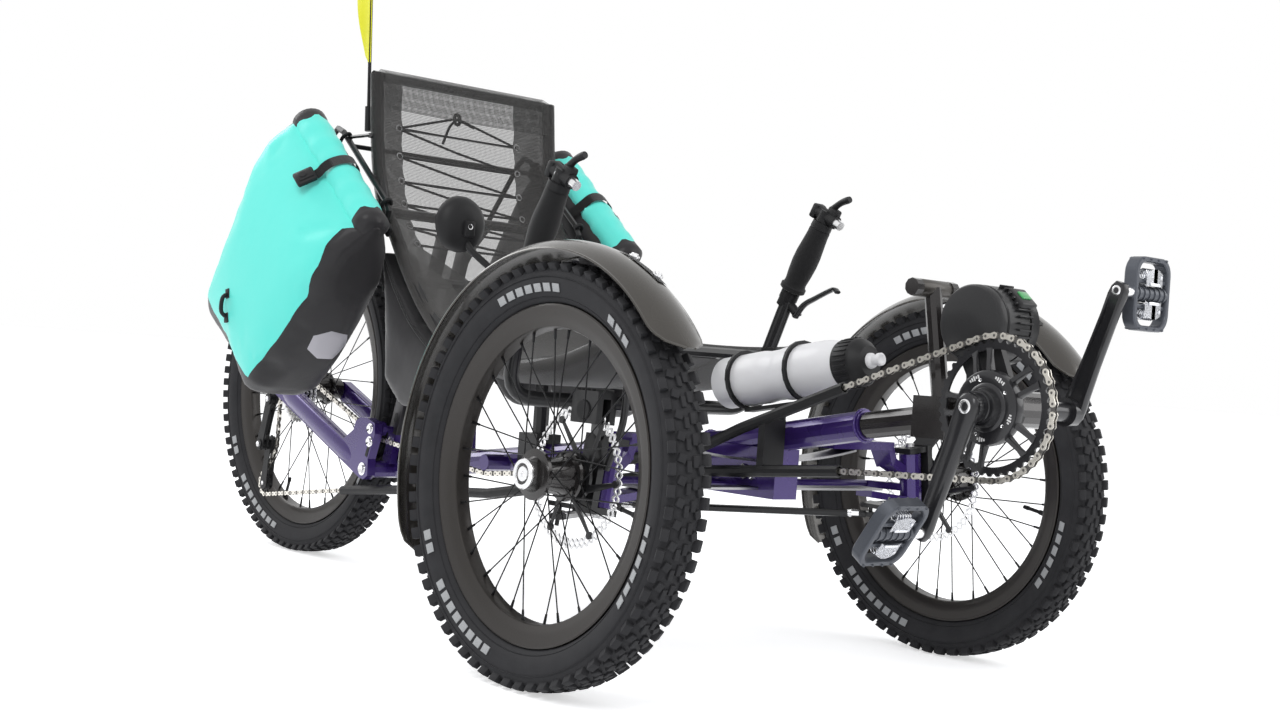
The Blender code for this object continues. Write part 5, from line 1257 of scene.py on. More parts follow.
for side in (1, -1):
    root = bracket + Vector((side * 0.100, 0, 0))
    tip = root - crank_way * side * 0.160
    way = (tip - root).normalized()
    over = Vector((1, 0, 0)).cross(way)
    sections = []
    for share, half, out, inn in ((-0.095, 0.0060, 0.0045, -0.0045), (-0.075, 0.0120, 0.0066, -0.0066),
                                  (-0.02, 0.0158, 0.0072, -0.0072),
                                  (0.06, 0.0165, 0.0074, -0.0072), (0.16, 0.0148, 0.0074, -0.0070),
                                  (0.40, 0.0128, 0.0070, -0.0066),
                                  (0.80, 0.0116, 0.0068, -0.0064), (0.96, 0.0124, 0.0070, -0.0066),
                                  (1.02, 0.0112, 0.0066, -0.0062),
                                  (1.065, 0.0070, 0.0050, -0.0050)):
        place = root.lerp(tip, share)
        groove = 0.0040 if 0.1 < share < 0.9 else 0.0
        sections.append([place + over * half * a + Vector((side * x, 0, 0)) for a, x in (
            (-1, 0), (-0.86, out * 0.78), (-0.52, out), (0.52, out), (0.86, out * 0.78), (1, 0),
            (0.86, inn * 0.9), (0.60, inn),
            (0.50, inn + groove), (-0.50, inn + groove), (-0.60, inn), (-0.86, inn * 0.9))])
    joined(arms, loft(sections))
    rod(arms, bracket + Vector((side * 0.034, 0, 0)), root + Vector((-side * 0.002, 0, 0)), 0.0120,
        segments=24)
    rod(arms, root - Vector((side * 0.016, 0, 0)), root, 0.0176, 0.0168, 28)
    for place, radius, facing in ((root + Vector((side * 0.0072, 0, 0)), 0.0085, side),
                                  (tip + Vector((side * 0.0068, 0, 0)), 0.0058, side),
                                  (tip - Vector((side * 0.0064, 0, 0)), 0.0062, -side)):
        cup = bmesh.new()
        turned(cup, [(-0.0040, 0.0), (-0.0040, radius), (0.0008, radius), (0.0012, radius - 0.0010),
                     (0.0012, radius * 0.62), (-0.0018, radius * 0.52),
                     (-0.0018, 0.0)], 24)
        moved(cup, Matrix.Translation(place) @ Matrix.Diagonal((facing, 1, 1, 1)))
        joined(crank_bright, cup)
    rod(crank_bright, tip + Vector((side * 0.006, 0, 0)), tip + Vector((side * 0.0200, 0, 0)), 0.0085, 0.0078,
        18)
    rod(crank_bright, tip + Vector((side * 0.018, 0, 0)), tip + Vector((side * 0.083, 0, 0)), 0.0058, 0.0048,
        18)
made = piece("crank_arms", arms, crank_black, "crankset", 40)
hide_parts("crankset")
piece("chainring", ring_bm, crank_black, "crankset", 30)
piece("crank_bolts", crank_bright, bright, "crankset", 40)


# Pedals: trekking pedals with a blue-grey cast cage, a grooved centre barrel on a steel spindle and a bright
# sprung clip with its jaw plates on both sides.

cage_grey = coated("pedal_cage_grey", (0.070, 0.076, 0.090), 0.42, 0.35, 0.2, 0.5)
clip_steel = Finish("clip_steel", (0.74, 0.75, 0.78), 0.22, 1.0)
clip_steel.rough(clip_steel.noise(60.0) * 0.1 + 0.20)
pedal_half = Vector((0.037, 0.009, 0.045))
for side, word, turn_deg in ((1, "left", 0.0), (-1, "right", 34.0)):
    lie = Matrix.Translation(joint(f"pedal_{word}_spin")[0]) @ Matrix.Rotation(math.radians(turn_deg), 4, "X")
    cage, clip = bmesh.new(), bmesh.new()
    hoop = []
    for cx, cz, start in ((1, 1, 0), (-1, 1, 90), (-1, -1, 180), (1, -1, 270)):
        for i in range(6):
            t = math.radians(start + 18 * i)
            hoop.append((cx * (pedal_half.x - 0.017) + 0.017 * math.cos(t),
                         cz * (pedal_half.z - 0.020) + 0.020 * math.sin(t)))
    rings = []
    for y, inset in ((-0.0090, 0.0014), (-0.0074, 0.0), (0.0074, 0.0), (0.0090, 0.0014), (0.0090, 0.0052),
                     (0.0074, 0.0064),
                     (-0.0074, 0.0064), (-0.0090, 0.0052)):
        rings.append(
            [cage.verts.new(Vector((x * (1 - inset / pedal_half.x), y, z * (1 - inset / pedal_half.z))))
             for x, z in hoop])
    skinned(cage, rings + rings[:1])
    for z in (-0.0155, 0.0155):
        slab(cage, (0.062, 0.0120, 0.0055), Matrix.Translation((0, 0, z)), 0.0012)
    rod(cage, Vector((-0.034, 0, 0)), Vector((0.034, 0, 0)), 0.0092, segments=20)
    for i in range(6):
        rod(cage, Vector((-0.028 + i * 0.0106, 0, 0)), Vector((-0.0255 + i * 0.0106, 0, 0)), 0.0104,
            segments=20)
    for z in (-1, 1):
        for x in (-0.024, -0.008, 0.008, 0.024):
            for y in (-1, 1):
                rod(cage, Vector((x, y * 0.0086, z * 0.0425)), Vector((x, y * 0.0108, z * 0.0425)), 0.0019,
                    0.0012, 8)
    for face in (1, -1):
        jaw = [[Vector((x, face * (0.0100 + 0.0016 * math.cos(x * 90)), z + 0.004 * math.cos(x * 120)))
                for x in (-0.017, -0.010, -0.004, 0.004, 0.010, 0.017)]
               for z in (0.010, 0.016, 0.022, 0.027)]
        for flip in (1, -1):
            rows = [[Vector((p.x, p.y, p.z * flip)) for p in row] for row in jaw]
            plate = grid(rows)
            bmesh.ops.solidify(plate, geom=plate.faces[:], thickness=0.0018)
            joined(clip, plate)
            slab(clip, (0.022, 0.0030, 0.0040), Matrix.Translation((0, face * 0.0112, flip * 0.0115)), 0.0010)
            screw(clip, Vector((0.0115, face * 0.0105, flip * 0.021)), Vector((0, face, 0)), 0.0024, 0.0016)
    for flip in (1, -1):
        coil = [Vector((-0.013 + 0.026 * i / 48, 0.0062 * math.cos(i * math.tau / 8),
                        flip * 0.0245 + 0.0062 * math.sin(i * math.tau / 8)))
                for i in range(49)]
        pipe(clip, coil, 0.0010, 6)
    made = placed(f"pedal_cage_{word}", cage, lie, cage_grey, f"pedal_{word}", 40)
    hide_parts(f"pedal_{word}")
    placed(f"pedal_clip_{word}", clip, lie, clip_steel, f"pedal_{word}", 40)


# Drive unit: a round cast housing over the bottom bracket with a smooth cover on the chain side, cooling
# fins on its front, a ribbed end bell and a small green window. The bottle is white plastic with a black
# screw cap.

drive_centre = bracket + Vector((0, 0.051, 0.099))
cast_black = coated("cast_black", (0.017, 0.017, 0.018), 0.42, 0.2, 0.2, 0.5)
drive = bmesh.new()
turned(drive, [(0.0340, 0.0), (0.0340, 0.038), (0.0320, 0.0425), (0.0290, 0.0440), (0.0285, 0.0465),
               (0.0130, 0.0468), (0.0125, 0.0452),
               (0.0095, 0.0452), (0.0090, 0.0468), (-0.0290, 0.0468), (-0.0300, 0.0450), (-0.0345, 0.0450),
               (-0.0350, 0.0468),
               (-0.0430, 0.0462), (-0.0462, 0.0440), (-0.0470, 0.0410), (-0.0470, 0.0)], 64)
for i in range(11):
    turn = math.radians(20 + 9.5 * i)
    place = Matrix.Rotation(turn, 4, "X") @ Matrix.Translation((-0.002, 0, 0.0484))
    slab(drive, (0.026, 0.0024, 0.0058), place, 0.0007)
bmesh.ops.translate(drive, verts=drive.verts, vec=drive_centre)
plate_at = -0.0416
lug_lean = 0.476
lug = []
for out in (-0.0049, 0.0049):
    outline = []
    for place, radius, first_deg, last_deg in ((drive_centre, 0.0410, -75, 105), (bracket, 0.0335, 105, 285)):
        for i in range(17):
            t = math.radians(first_deg + (last_deg - first_deg) * i / 16) - lug_lean
            outline.append(
                Vector((plate_at + out, place.y + radius * math.sin(t), place.z + radius * math.cos(t))))
    lug.append(outline)
joined(drive, loft(lug))
slab(drive, (0.030, 0.030, 0.016), Matrix.Translation(drive_centre + Vector((0.004, -0.034, 0.030)))
     @ Matrix.Rotation(math.radians(42), 4, "X"), 0.003)
made = piece("drive_unit", drive, cast_black, "chassis", 35)
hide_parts("motor")
window_green = Finish("window_green", (0.06, 0.42, 0.12), 0.25, coat=0.6)
window_green.colour(window_green.blend(window_green.noise(200.0), (0.04, 0.30, 0.09), (0.10, 0.50, 0.16)))
window_bm = bmesh.new()
slab(window_bm, (0.017, 0.012, 0.003), Matrix.Translation(drive_centre + Vector((0.004, -0.0395, 0.0366)))
     @ Matrix.Rotation(math.radians(42), 4, "X"), 0.001)
piece("drive_window", window_bm, window_green, "chassis")
drive_screws = bmesh.new()
for i in range(6):
    turn = math.tau * i / 6 + 0.35
    screw(drive_screws, drive_centre + Vector((0.0335, 0.031 * math.sin(turn), 0.031 * math.cos(turn))),
          Vector((1, 0, 0)), 0.0030, 0.0018)
piece("drive_screws", drive_screws, bolt_steel, "chassis")

bottle_foot = at(0, 0.100, axle_up + 0.1238)
bottle_way = Vector((0, -1, 0.168)).normalized()
bottle_turn = Vector((1, 0, 0)).rotation_difference(bottle_way).to_matrix().to_4x4()
bottle_lie = Matrix.Translation(bottle_foot) @ bottle_turn
white_plastic = Finish("bottle_white", (0.80, 0.80, 0.82), 0.38, coat=0.15)
white_plastic.colour(white_plastic.blend(white_plastic.noise(20.0), (0.76, 0.76, 0.79), (0.84, 0.84, 0.85)))
white_plastic.rough(white_plastic.noise(90.0) * 0.2 + 0.30)
flask = bmesh.new()
turned(flask, [(0.0, 0.0), (0.0, 0.027), (0.0025, 0.0325), (0.007, 0.0360), (0.083, 0.0364), (0.090, 0.0355),
               (0.096, 0.0345), (0.116, 0.0345),
               (0.122, 0.0355), (0.128, 0.0364), (0.198, 0.0364), (0.208, 0.0355), (0.222, 0.0325),
               (0.228, 0.0310), (0.228, 0.0)], 56)
made = placed("bottle_flask", flask, bottle_lie, white_plastic, "chassis", 40)
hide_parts("bottle")
cap = bmesh.new()
turned(cap, [(0.2282, 0.0), (0.2282, 0.0322), (0.2300, 0.0330), (0.2560, 0.0322), (0.2600, 0.0300),
             (0.2670, 0.0230), (0.2700, 0.0200), (0.2700, 0.0)], 56)
for i in range(28):
    turn = math.tau * i / 28
    slab(cap, (0.022, 0.0030, 0.0020),
         Matrix.Rotation(turn, 4, "X") @ Matrix.Translation((0.2435, 0, 0.0327)), 0.0006)
placed("bottle_cap", cap, bottle_lie, moulded, "chassis", 40)
nozzle = bmesh.new()
turned(nozzle, [(0.2702, 0.0), (0.2702, 0.0105), (0.2740, 0.0100), (0.2770, 0.0072), (0.2840, 0.0070),
                (0.2850, 0.0085), (0.2895, 0.0083),
                (0.2900, 0.0060), (0.2885, 0.0035), (0.2885, 0.0)], 32)
placed("bottle_nozzle", nozzle, bottle_lie, white_plastic, "chassis", 40)


# Handlebar: one bent black tube on a steerer, with barrel-shaped foam grips, a bar-end shifter on each top,
# a brake lever hinged below each grip, and a round convex mirror on a thick swivelling arm on the rider's
# right.

steerer_back = 0.260
bar_centre = at(0, steerer_back, axle_up + 0.0828)
grip_foam = Finish("grip_foam", (0.014, 0.014, 0.015), 0.92, sheen=0.25)
grip_foam.rough(grip_foam.noise(500.0) * 0.12 + 0.82).bump(grip_foam.noise(1600.0, 1.0), 0.0005, 0.6)
mirror_glass = Finish("mirror_glass", (0.82, 0.84, 0.86), 0.03, 1.0)
mirror_glass.rough(mirror_glass.noise(12.0) * 0.02 + 0.02)


def cornered(points, reach, steps=6):
    """A line with its corners rounded."""
    line = [points[0]]
    for before, point, after in zip(points, points[1:], points[2:]):
        first = point + (before - point).normalized() * reach
        last = point + (after - point).normalized() * reach
        for i in range(steps + 1):
            t = i / steps
            line.append(first * (1 - t) ** 2 + point * 2 * t * (1 - t) + last * t * t)
    return line + [points[-1]]


bars = bmesh.new()
half_bar = [Vector(p) for p in ((0.236, 0.040, 0.0), (0.255, -0.020, 0.185), (0.258, -0.077, 0.295))]
whole = [bar_centre + Vector((-p.x, p.y, p.z))
         for p in half_bar[::-1]] + [bar_centre] + [bar_centre + p for p in half_bar]
pipe(bars, cornered(whole, 0.048), 0.0110, 20)
crank_pin = bar_centre + Vector((0, 0.080, -0.1410))
rod(bars, Vector((bar_centre.x, bar_centre.y, crank_pin.z)), bar_centre, 0.0110, segments=24)
slab(bars, (0.026, 0.106, 0.008), Matrix.Translation(crank_pin - Vector((0, 0.040, 0))), 0.003)
slab(bars, (0.052, 0.034, 0.028), Matrix.Translation(bar_centre), 0.004)
rod(bars, crank_pin, crank_pin - Vector((0, 0, 0.033)), 0.0030, segments=12)
grip_way = (half_bar[2] - half_bar[1]).normalized()
for side, word in sides:
    flip = Matrix.Diagonal((side, 1, 1, 1))
    foot = bar_centre + flip @ (half_bar[1] + grip_way * 0.008)
    way = flip @ grip_way
    stand = along(foot, foot + way)
    grip = bmesh.new()
    turned(grip, [(0.0, 0.0116), (0.0, 0.0185), (0.0015, 0.0205), (0.0075, 0.0205), (0.0095, 0.0180),
                  (0.0150, 0.0172), (0.0300, 0.0190),
                  (0.0480, 0.0203), (0.0640, 0.0200), (0.0820, 0.0182), (0.0980, 0.0168), (0.1050, 0.0168),
                  (0.1080, 0.0155), (0.1080, 0.0116)], 40)
    moved(grip, stand @ Matrix.Rotation(math.radians(-90), 4, "Y"))
    made = piece(f"grip_foam_{word}", grip, grip_foam, "handlebar", 50)
    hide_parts(f"grip_{word}")
    top = foot + way * 0.1085
    forward = (Vector((0, -1, 0)) - way * way.dot(Vector((0, -1, 0)))).normalized()
    out = way.cross(forward).normalized() * (1 if side > 0 else -1)
    shifter = bmesh.new()
    rod(shifter, top, top + way * 0.011, 0.0168, 0.0160, 28)
    rod(shifter, top + way * 0.011, top + way * 0.030, 0.0128, 0.0120, 24)
    rod(shifter, top + way * 0.0215 - forward * 0.019, top + way * 0.0215 + forward * 0.024, 0.0105,
        segments=24)
    box_lie = Matrix((out, forward, way)).transposed().to_4x4()
    box_lie.translation = top + way * 0.0200 - forward * 0.0210
    slab(shifter, (0.021, 0.012, 0.023), box_lie, 0.0030)
    box_lie.translation = top + way * 0.033 + forward * 0.012
    slab(shifter, (0.014, 0.020, 0.014), box_lie, 0.0030)
    lever_foot = top + way * 0.036 + forward * 0.006
    pipe(shifter, smooth([lever_foot, lever_foot + way * 0.016 + forward * 0.010,
                          lever_foot + way * 0.029 + forward * 0.024], 4),
         [0.0058, 0.0055, 0.0052, 0.0050, 0.0050, 0.0052, 0.0054, 0.0056, 0.0050], 12)
    hinge = foot - way * 0.022
    pivot_arm = hinge + forward * 0.030 + way * -0.004
    rod(shifter, foot - way * 0.002, foot - way * 0.016, 0.0150, segments=24)
    rod(shifter, foot - way * 0.028, foot - way * 0.014, 0.0140, segments=24)
    pipe(shifter, smooth([hinge, hinge + forward * 0.016, pivot_arm], 4), 0.0072, 12)
    piece(f"shifter_{word}", shifter, moulded, "handlebar", 40)
    path = smooth([pivot_arm - way * 0.006, pivot_arm + way * 0.018 + forward * 0.006,
                   pivot_arm + way * 0.038 + forward * 0.021,
                   pivot_arm + way * 0.062 + forward * 0.041, pivot_arm + way * 0.070 + forward * 0.050,
                   pivot_arm + way * 0.069 + forward * 0.058], 5)
    rows = []
    for i, point in enumerate(path):
        share = i / (len(path) - 1)
        run = (path[min(i + 1, len(path) - 1)] - path[max(i - 1, 0)]).normalized()
        deep = run.cross(out).normalized()
        wide, thick = 0.0060 - 0.0018 * math.sin(share * math.pi), 0.0040 - 0.0012 * share
        rows.append([point + out * wide * a + deep * thick * b for a,
                     b in ((-1, -0.5), (-0.6, -1), (0.6, -1), (1, -0.5), (1, 0.5), (0.6, 1), (-0.6, 1),
                           (-1, 0.5))])
    piece(f"brake_lever_{word}", loft(rows), crank_black, "handlebar", 50)
    fittings = bmesh.new()
    rod(fittings, top + way * 0.0215 + forward * 0.024, top + way * 0.0215 + forward * 0.036, 0.0078, 0.0070,
        20)
    screw(fittings, top + way * 0.0215 + out * 0.0100, out, 0.0038, 0.0022)
    screw(fittings, pivot_arm + out * 0.0060, out, 0.0040, 0.0020)
    screw(fittings, foot - way * 0.021 + forward * -0.0135, -forward, 0.0032, 0.0022)
    piece(f"bar_fittings_{word}", fittings, bright, "handlebar", 40)
screw(bars, bar_centre + Vector((0, -0.017, 0.006)), Vector((0, -1, 0)), 0.0040, 0.0030)
made = piece("bar_tubes", bars, black_coat, "handlebar", 40)
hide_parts("handlebar")

mirror_arm = [bar_centre + Vector(p)
              for p in ((-0.2560, -0.0120, 0.1530), (-0.290, 0.002, 0.167), (-0.322, 0.030, 0.200),
                        (-0.329, 0.044, 0.227))]
mirror_centre = bar_centre + Vector((-0.330, 0.043, 0.235))
shell, glass = bmesh.new(), bmesh.new()
pipe(shell, cornered(mirror_arm, 0.010), 0.0048, 16)
rod(shell, mirror_arm[0] + Vector((0.004, 0, -0.008)), mirror_arm[0] + Vector((0.002, -0.004, 0.010)), 0.0145,
    segments=28)
dome = bmesh.new()
turned(dome, [(-0.0160, 0.0), (-0.0158, 0.008), (-0.0145, 0.018), (-0.0110, 0.028), (-0.0050, 0.0355),
              (0.0020, 0.0385), (0.0068, 0.0390), (0.0075, 0.0380),
              (0.0072, 0.0365), (0.0045, 0.0360), (0.0045, 0.0)], 56)
lie = Matrix.Translation(mirror_centre) @ Matrix.Rotation(math.radians(90), 4, "Z")
moved(dome, lie)
joined(shell, dome)
slab(shell, (0.016, 0.010, 0.022), Matrix.Translation(mirror_centre + Vector((0.001, -0.0170, -0.007))),
     0.003)
rod(shell, mirror_centre + Vector((0, -0.0210, -0.004)), mirror_centre + Vector((0, -0.0140, -0.004)), 0.0078,
    segments=20)
turned(glass, [(0.0048, 0.0), (0.0048, 0.0355), (0.0062, 0.0358), (0.0071, 0.0345), (0.0082, 0.020),
               (0.0086, 0.0)], 56)
moved(glass, lie)
made = piece("mirror_shell", shell, moulded, "handlebar", 45)
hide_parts("mirror")
piece("mirror_face", glass, mirror_glass, "handlebar", 45)
mirror_screw = bmesh.new()
screw(mirror_screw, mirror_centre + Vector((0, -0.0208, -0.004)), Vector((0, -1, 0)), 0.0042, 0.0018)
piece("mirror_screw", mirror_screw, bright, "handlebar")


# Knuckle and frame fittings: silver bolts at every pivot, rod ends with jam nuts on the steering rods, brake
# caliper bolts and pad pins, welded beads where tubes meet, and thin black patches of painted shade standing
# for the slots in the two seat channels and the windows in the arm's pivot plates, which are not cut.

for side, word in sides:
    lie = axle_frame(f"wheel_{word}_spin")
    centre, way = joint(f"knuckle_{word}_turn")
    fittings = bmesh.new()
    caliper = lie @ Matrix.Translation((-side * rotor_offset, -0.022, 0.088))
    inboard = (lie.to_3x3() @ Vector((-side, 0, 0))).normalized()
    for run in (-0.016, 0.016):
        screw(fittings, caliper @ Vector((-side * 0.0150, run, 0.003)), inboard, 0.0052, 0.0035)
    rod(fittings, caliper @ Vector((-side * 0.0150, 0, -0.006)),
        caliper @ Vector((-side * 0.0185, 0, -0.006)), 0.0095, 0.0088, 24)
    rod(fittings, caliper @ Vector((-0.0045, 0.0, 0.0200)), caliper @ Vector((0.0045, 0.0, 0.0200)), 0.0022,
        segments=12)
    for lift, sense in ((0.0500, 1), (-0.0500, -1)):
        screw(fittings, centre + way * lift, way * sense, 0.0078, 0.0042)
    piece(f"knuckle_fittings_{word}", fittings, bolt_steel, f"knuckle_{word}", 40)
    rib = bmesh.new()
    for run in (-0.019, -0.0095, 0.0, 0.0095, 0.019):
        slab(rib, (0.028, 0.0028, 0.0050), caliper @ Matrix.Translation((0, run, 0.0208)), 0.0008)
    for out in (-1, 1):
        rod(rib, caliper @ Vector((out * 0.0150, 0, -0.004)), caliper @ Vector((out * 0.0172, 0, -0.004)),
            0.0128, 0.0118, 28)
    piece(f"caliper_ribs_{word}", rib, moulded, f"knuckle_{word}", 40)
    ends = bmesh.new()
    start = at(0, 0.340, axle_up - (0.0722 if side > 0 else 0.0822))
    rod_end = centre - way * 0.0445 + Vector((0, 0.080, 0)) - way * 0.0150
    run = (rod_end - start).normalized()
    for place, sense in ((start, 1), (rod_end, -1)):
        rod(ends, place + run * sense * 0.0190, place + run * sense * 0.0300, 0.0062, segments=6)
        rod(ends, place + run * sense * 0.0300, place + run * sense * 0.0360, 0.0066, 0.0056, 16)
    piece(f"rod_ends_{word}", ends, bright, f"steering_rod_{word}", 40)


def squared(share):
    """A circle's share turned into that of a squarer oval."""
    return math.copysign(abs(share) ** 0.8, share)


silver, beads, dark = bmesh.new(), bmesh.new(), bmesh.new()
arm_face = 0.0755
channel_foot, channel_top = on_frame(0.9957, -0.0669), on_frame(0.8634, 0.3632)
for side in (1, -1):
    out = Vector((side, 0, 0))
    for place, radius in ((pivot, 0.0085), (idler_cross, 0.0070),
                          (idler_cross - arm_way * 0.0085 - arm_rise * 0.0210, 0.0070)):
        screw(silver, place + out * arm_face, out, radius, 0.0040)
        rod(silver, place + out * arm_face, place + out * (arm_face + 0.0012), radius * 1.35, segments=24)
    if side < 0:
        screw(silver, rear_axle + out * arm_face, out, 0.0090, 0.0040)
    else:
        rod(silver, rear_axle + out * (arm_face - 0.001), rear_axle + out * (arm_face + 0.0045), 0.0105,
            0.0095, 6)
    screw(silver, on_frame(0.7957, 0.0406) + out * 0.0175, out, 0.0065, 0.0035)
    for share in (0.10, 0.62):
        spot = channel_foot.lerp(channel_top, share)
        screw(silver, spot + out * 0.0312, out, 0.0048, 0.0030)
channel_way = (channel_top - channel_foot).normalized()
channels, arms_bm = bmesh.new(), bmesh.new()
for side in (1, -1):
    middle = channel_foot.lerp(channel_top, 0.56) + Vector((side * 0.024, 0, 0))
    lie = Matrix((Vector((1, 0, 0)), channel_way.cross(Vector((1, 0, 0))), channel_way)).transposed().to_4x4()
    lie.translation = middle
    slab(channels, (0.0156, 0.0256, (channel_top - channel_foot).length * 0.86), lie, 0.002)
    # Thin black discs on both faces of the channel: painted shade standing for its slots, which are not cut.
    for i in range(9):
        spot = channel_foot.lerp(channel_top, 0.20 + 0.085 * i)
        for push in (1, -1):
            slot_shade_verts = rod(dark, spot + Vector((side * 0.024 + push * 0.0074, 0, 0)),
                             spot + Vector((side * 0.024 + push * 0.0081, 0, 0)), 0.0042, segments=20)
            for vert in slot_shade_verts:
                vert.co += channel_way * (0.0045 if (vert.co - spot).dot(channel_way) > 0 else -0.0045)
    # The arm's own tube, flattened at both ends, and a thin black sheet of painted shade standing for the
    # window in its pivot plate, which is not cut.
    sections = []
    for share, high, wide in ((0.13, 0.0150, 0.0082), (0.17, 0.0178, 0.0100), (0.22, 0.0192, 0.0116),
                              (0.50, 0.0194, 0.0120), (0.84, 0.0192, 0.0116),
                              (0.90, 0.0178, 0.0098), (0.94, 0.0150, 0.0082)):
        spot = pivot.lerp(rear_axle, share) + Vector((side * 0.0675, 0, 0))
        sections.append([spot + Vector((wide * squared(math.cos(t)), 0, 0))
                         + arm_rise * (high * squared(math.sin(t)))
                         for t in (math.tau * j / 28 for j in range(28))])
    joined(arms_bm, loft(sections))
    window_shade_at = pivot + arm_rise * 0.0430 - arm_way * 0.0005 + Vector((side * 0.0757, 0, 0))
    lie = Matrix((Vector((1, 0, 0)), arm_way, arm_rise)).transposed().to_4x4()
    lie.translation = window_shade_at
    slab(dark, (0.0008, 0.0075, 0.0360), lie, 0.0)
channel_grey = coated("channel_grey", (0.045, 0.044, 0.046), 0.40, 0.6, 0.2)
piece("seat_channels", channels, channel_grey, "chassis", 40)
piece("arm_tubes", arms_bm, violet, "chassis", 50)
for lift in (0.0558, -0.0302):
    place = at(0, steerer_back, axle_up + lift)
    rod(silver, place - Vector((0, 0, 0.0020)), place + Vector((0, 0, 0.0020)), 0.0190, segments=40)
main_line = [on_frame(-0.1828, 0.0917), on_frame(0.1075, 0.0406), on_frame(0.9946, -0.0776)]


def bead(middle, way, radius, width=0.0022):
    """A ring of weld round a tube, with its ripples."""
    frame_of = along(middle, middle + way)
    ring, sizes = [], []
    for i in range(72):
        t = math.tau * i / 72
        ring.append(frame_of @ Vector(((radius + 0.0004) * math.cos(t), (radius + 0.0004) * math.sin(t), 0)))
        sizes.append(width * (1.0 + 0.16 * math.sin(i * math.pi / 1.5)))
    pipe(beads, ring, sizes, 8, closed=True)


for middle, way, radius in ((main_line[0].lerp(main_line[1], 0.02), main_line[1] - main_line[0], 0.0203),
                            (at(0, 0.1225, 0), None, 0.0203),
                            (at(0, 0.2395, 0), None, 0.0200), (at(0, 0.2805, 0), None, 0.0200),
                            (main_line[2].lerp(main_line[1], 0.045), main_line[2] - main_line[1], 0.0203)):
    if way is None:
        share = (middle.y - main_line[1].y) / (main_line[2].y - main_line[1].y)
        middle, way = main_line[1].lerp(main_line[2], share), main_line[2] - main_line[1]
    bead(middle, way, radius)
piece("pivot_bolts", silver, bright, "chassis", 40)
piece("weld_beads", beads, violet, "chassis", 60)
# Black patches of painted shade for the channel slots and the pivot plate windows.
piece("channel_slot_shade", dark, moulded, "chassis", 40)


# Accessory bar: a short grey alloy tube with plugged ends across the top of the post on the boom, for a lamp.

post_bar = on_frame(-0.1828, 0.0917).lerp(bracket, 0.4935) + Vector((0, 0.029, 0.160))
bar_bm = bmesh.new()
tube = [(-0.0375, 0.0), (-0.0375, 0.0085), (-0.0365, 0.0100), (-0.0350, 0.0112), (0.0350, 0.0112),
        (0.0365, 0.0100), (0.0375, 0.0085), (0.0375, 0.0)]
turned(bar_bm, tube, 36)
bmesh.ops.translate(bar_bm, verts=bar_bm.verts, vec=post_bar)
piece("accessory_bar", bar_bm, coated("bar_grey", (0.060, 0.055, 0.050), 0.38, 0.6, 0.2), "chassis", 45)


# Rear shock: an air can with a red rebound knob and a silver shaft between two eyes, pinned to the frame's
# ears.

shock_front = on_frame(0.7957, 0.0406)
shock_way = (idler_cross - shock_front).normalized()
shock_turn = Vector((1, 0, 0)).rotation_difference(shock_way).to_matrix().to_4x4()
shock_lie = Matrix.Translation(shock_front) @ shock_turn
can = bmesh.new()
turned(can, [(0.012, 0.0), (0.012, 0.0095), (0.022, 0.0120), (0.034, 0.0125), (0.036, 0.0162),
             (0.040, 0.0172), (0.075, 0.0172), (0.078, 0.0165),
             (0.081, 0.0165), (0.084, 0.0178), (0.132, 0.0178), (0.137, 0.0160), (0.137, 0.0)], 40)
moved(can, shock_lie)
for place in (shock_front, idler_cross):
    rod(can, place + Vector((-0.0108, 0, 0)), place + Vector((0.0108, 0, 0)), 0.0118, segments=32)
made = piece("shock_can", can, crank_black, "chassis", 40)
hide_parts("shock")
shaft, knob = bmesh.new(), bmesh.new()
rod(shaft, shock_lie @ Vector((0.137, 0, 0)), idler_cross - shock_way * 0.010, 0.0062, segments=28)
rod(shaft, shock_lie @ Vector((0.060, 0, 0.0160)), shock_lie @ Vector((0.060, 0, 0.0205)), 0.0036, 0.0030, 16)
for i in range(20):
    t = math.tau * i / 20
    slab(knob, (0.0095, 0.0024, 0.0016), shock_lie @ Matrix.Translation((0.0285, 0, 0))
         @ Matrix.Rotation(t, 4, "X") @ Matrix.Translation((0, 0, 0.0146)), 0.0005)
ring = bmesh.new()
turned(ring, [(0.0235, 0.0122), (0.0235, 0.0142), (0.0335, 0.0142), (0.0335, 0.0126)], 40, closed=True)
moved(ring, shock_lie)
joined(knob, ring)
piece("shock_shaft", shaft, bright, "chassis", 40)
anodised = Finish("knob_red", (0.42, 0.015, 0.02), 0.25, 0.7)
anodised.rough(anodised.noise(300.0) * 0.2 + 0.2)
piece("shock_knob", knob, anodised, "chassis", 40)


# Side bags and pennant: two flat black nylon bags hung under the seat's sides with a zip and a lid seam,
# and a thin yellow pennant on the glass-fibre mast, its edge folded round the mast.

side_bag_shares = [(0.5376, 0.1052), (0.5355, 0.0783), (0.5699, 0.0535), (0.6882, 0.0514), (0.7419, 0.0944),
                   (0.7656, 0.2557)]
bag_outline = [on_frame(*share) for share in side_bag_shares]
for i in (4, 5, 6, 7):
    before, after = on_frame(*seat_shares[i - 1]), on_frame(*seat_shares[i + 1])
    way = (after - before).normalized()
    bag_outline.append(on_frame(*seat_shares[i]) + Vector((0, -way.z, way.y)) * 0.0226)
bag_middle = sum(bag_outline, Vector()) / len(bag_outline)
rows = []
for side, shrink in ((0.1300, 0.90), (0.1330, 0.96), (0.1400, 0.985), (0.1650, 0.99), (0.1900, 0.985),
                     (0.1965, 0.955), (0.1985, 0.88)):
    fine = []
    for j in range(len(bag_outline)):
        first, second = bag_outline[j], bag_outline[(j + 1) % len(bag_outline)]
        for k in range(4):
            point = bag_middle.lerp(first.lerp(second, k / 4), shrink)
            fine.append(Vector((side, point.y, point.z)))
    rows.append(fine)
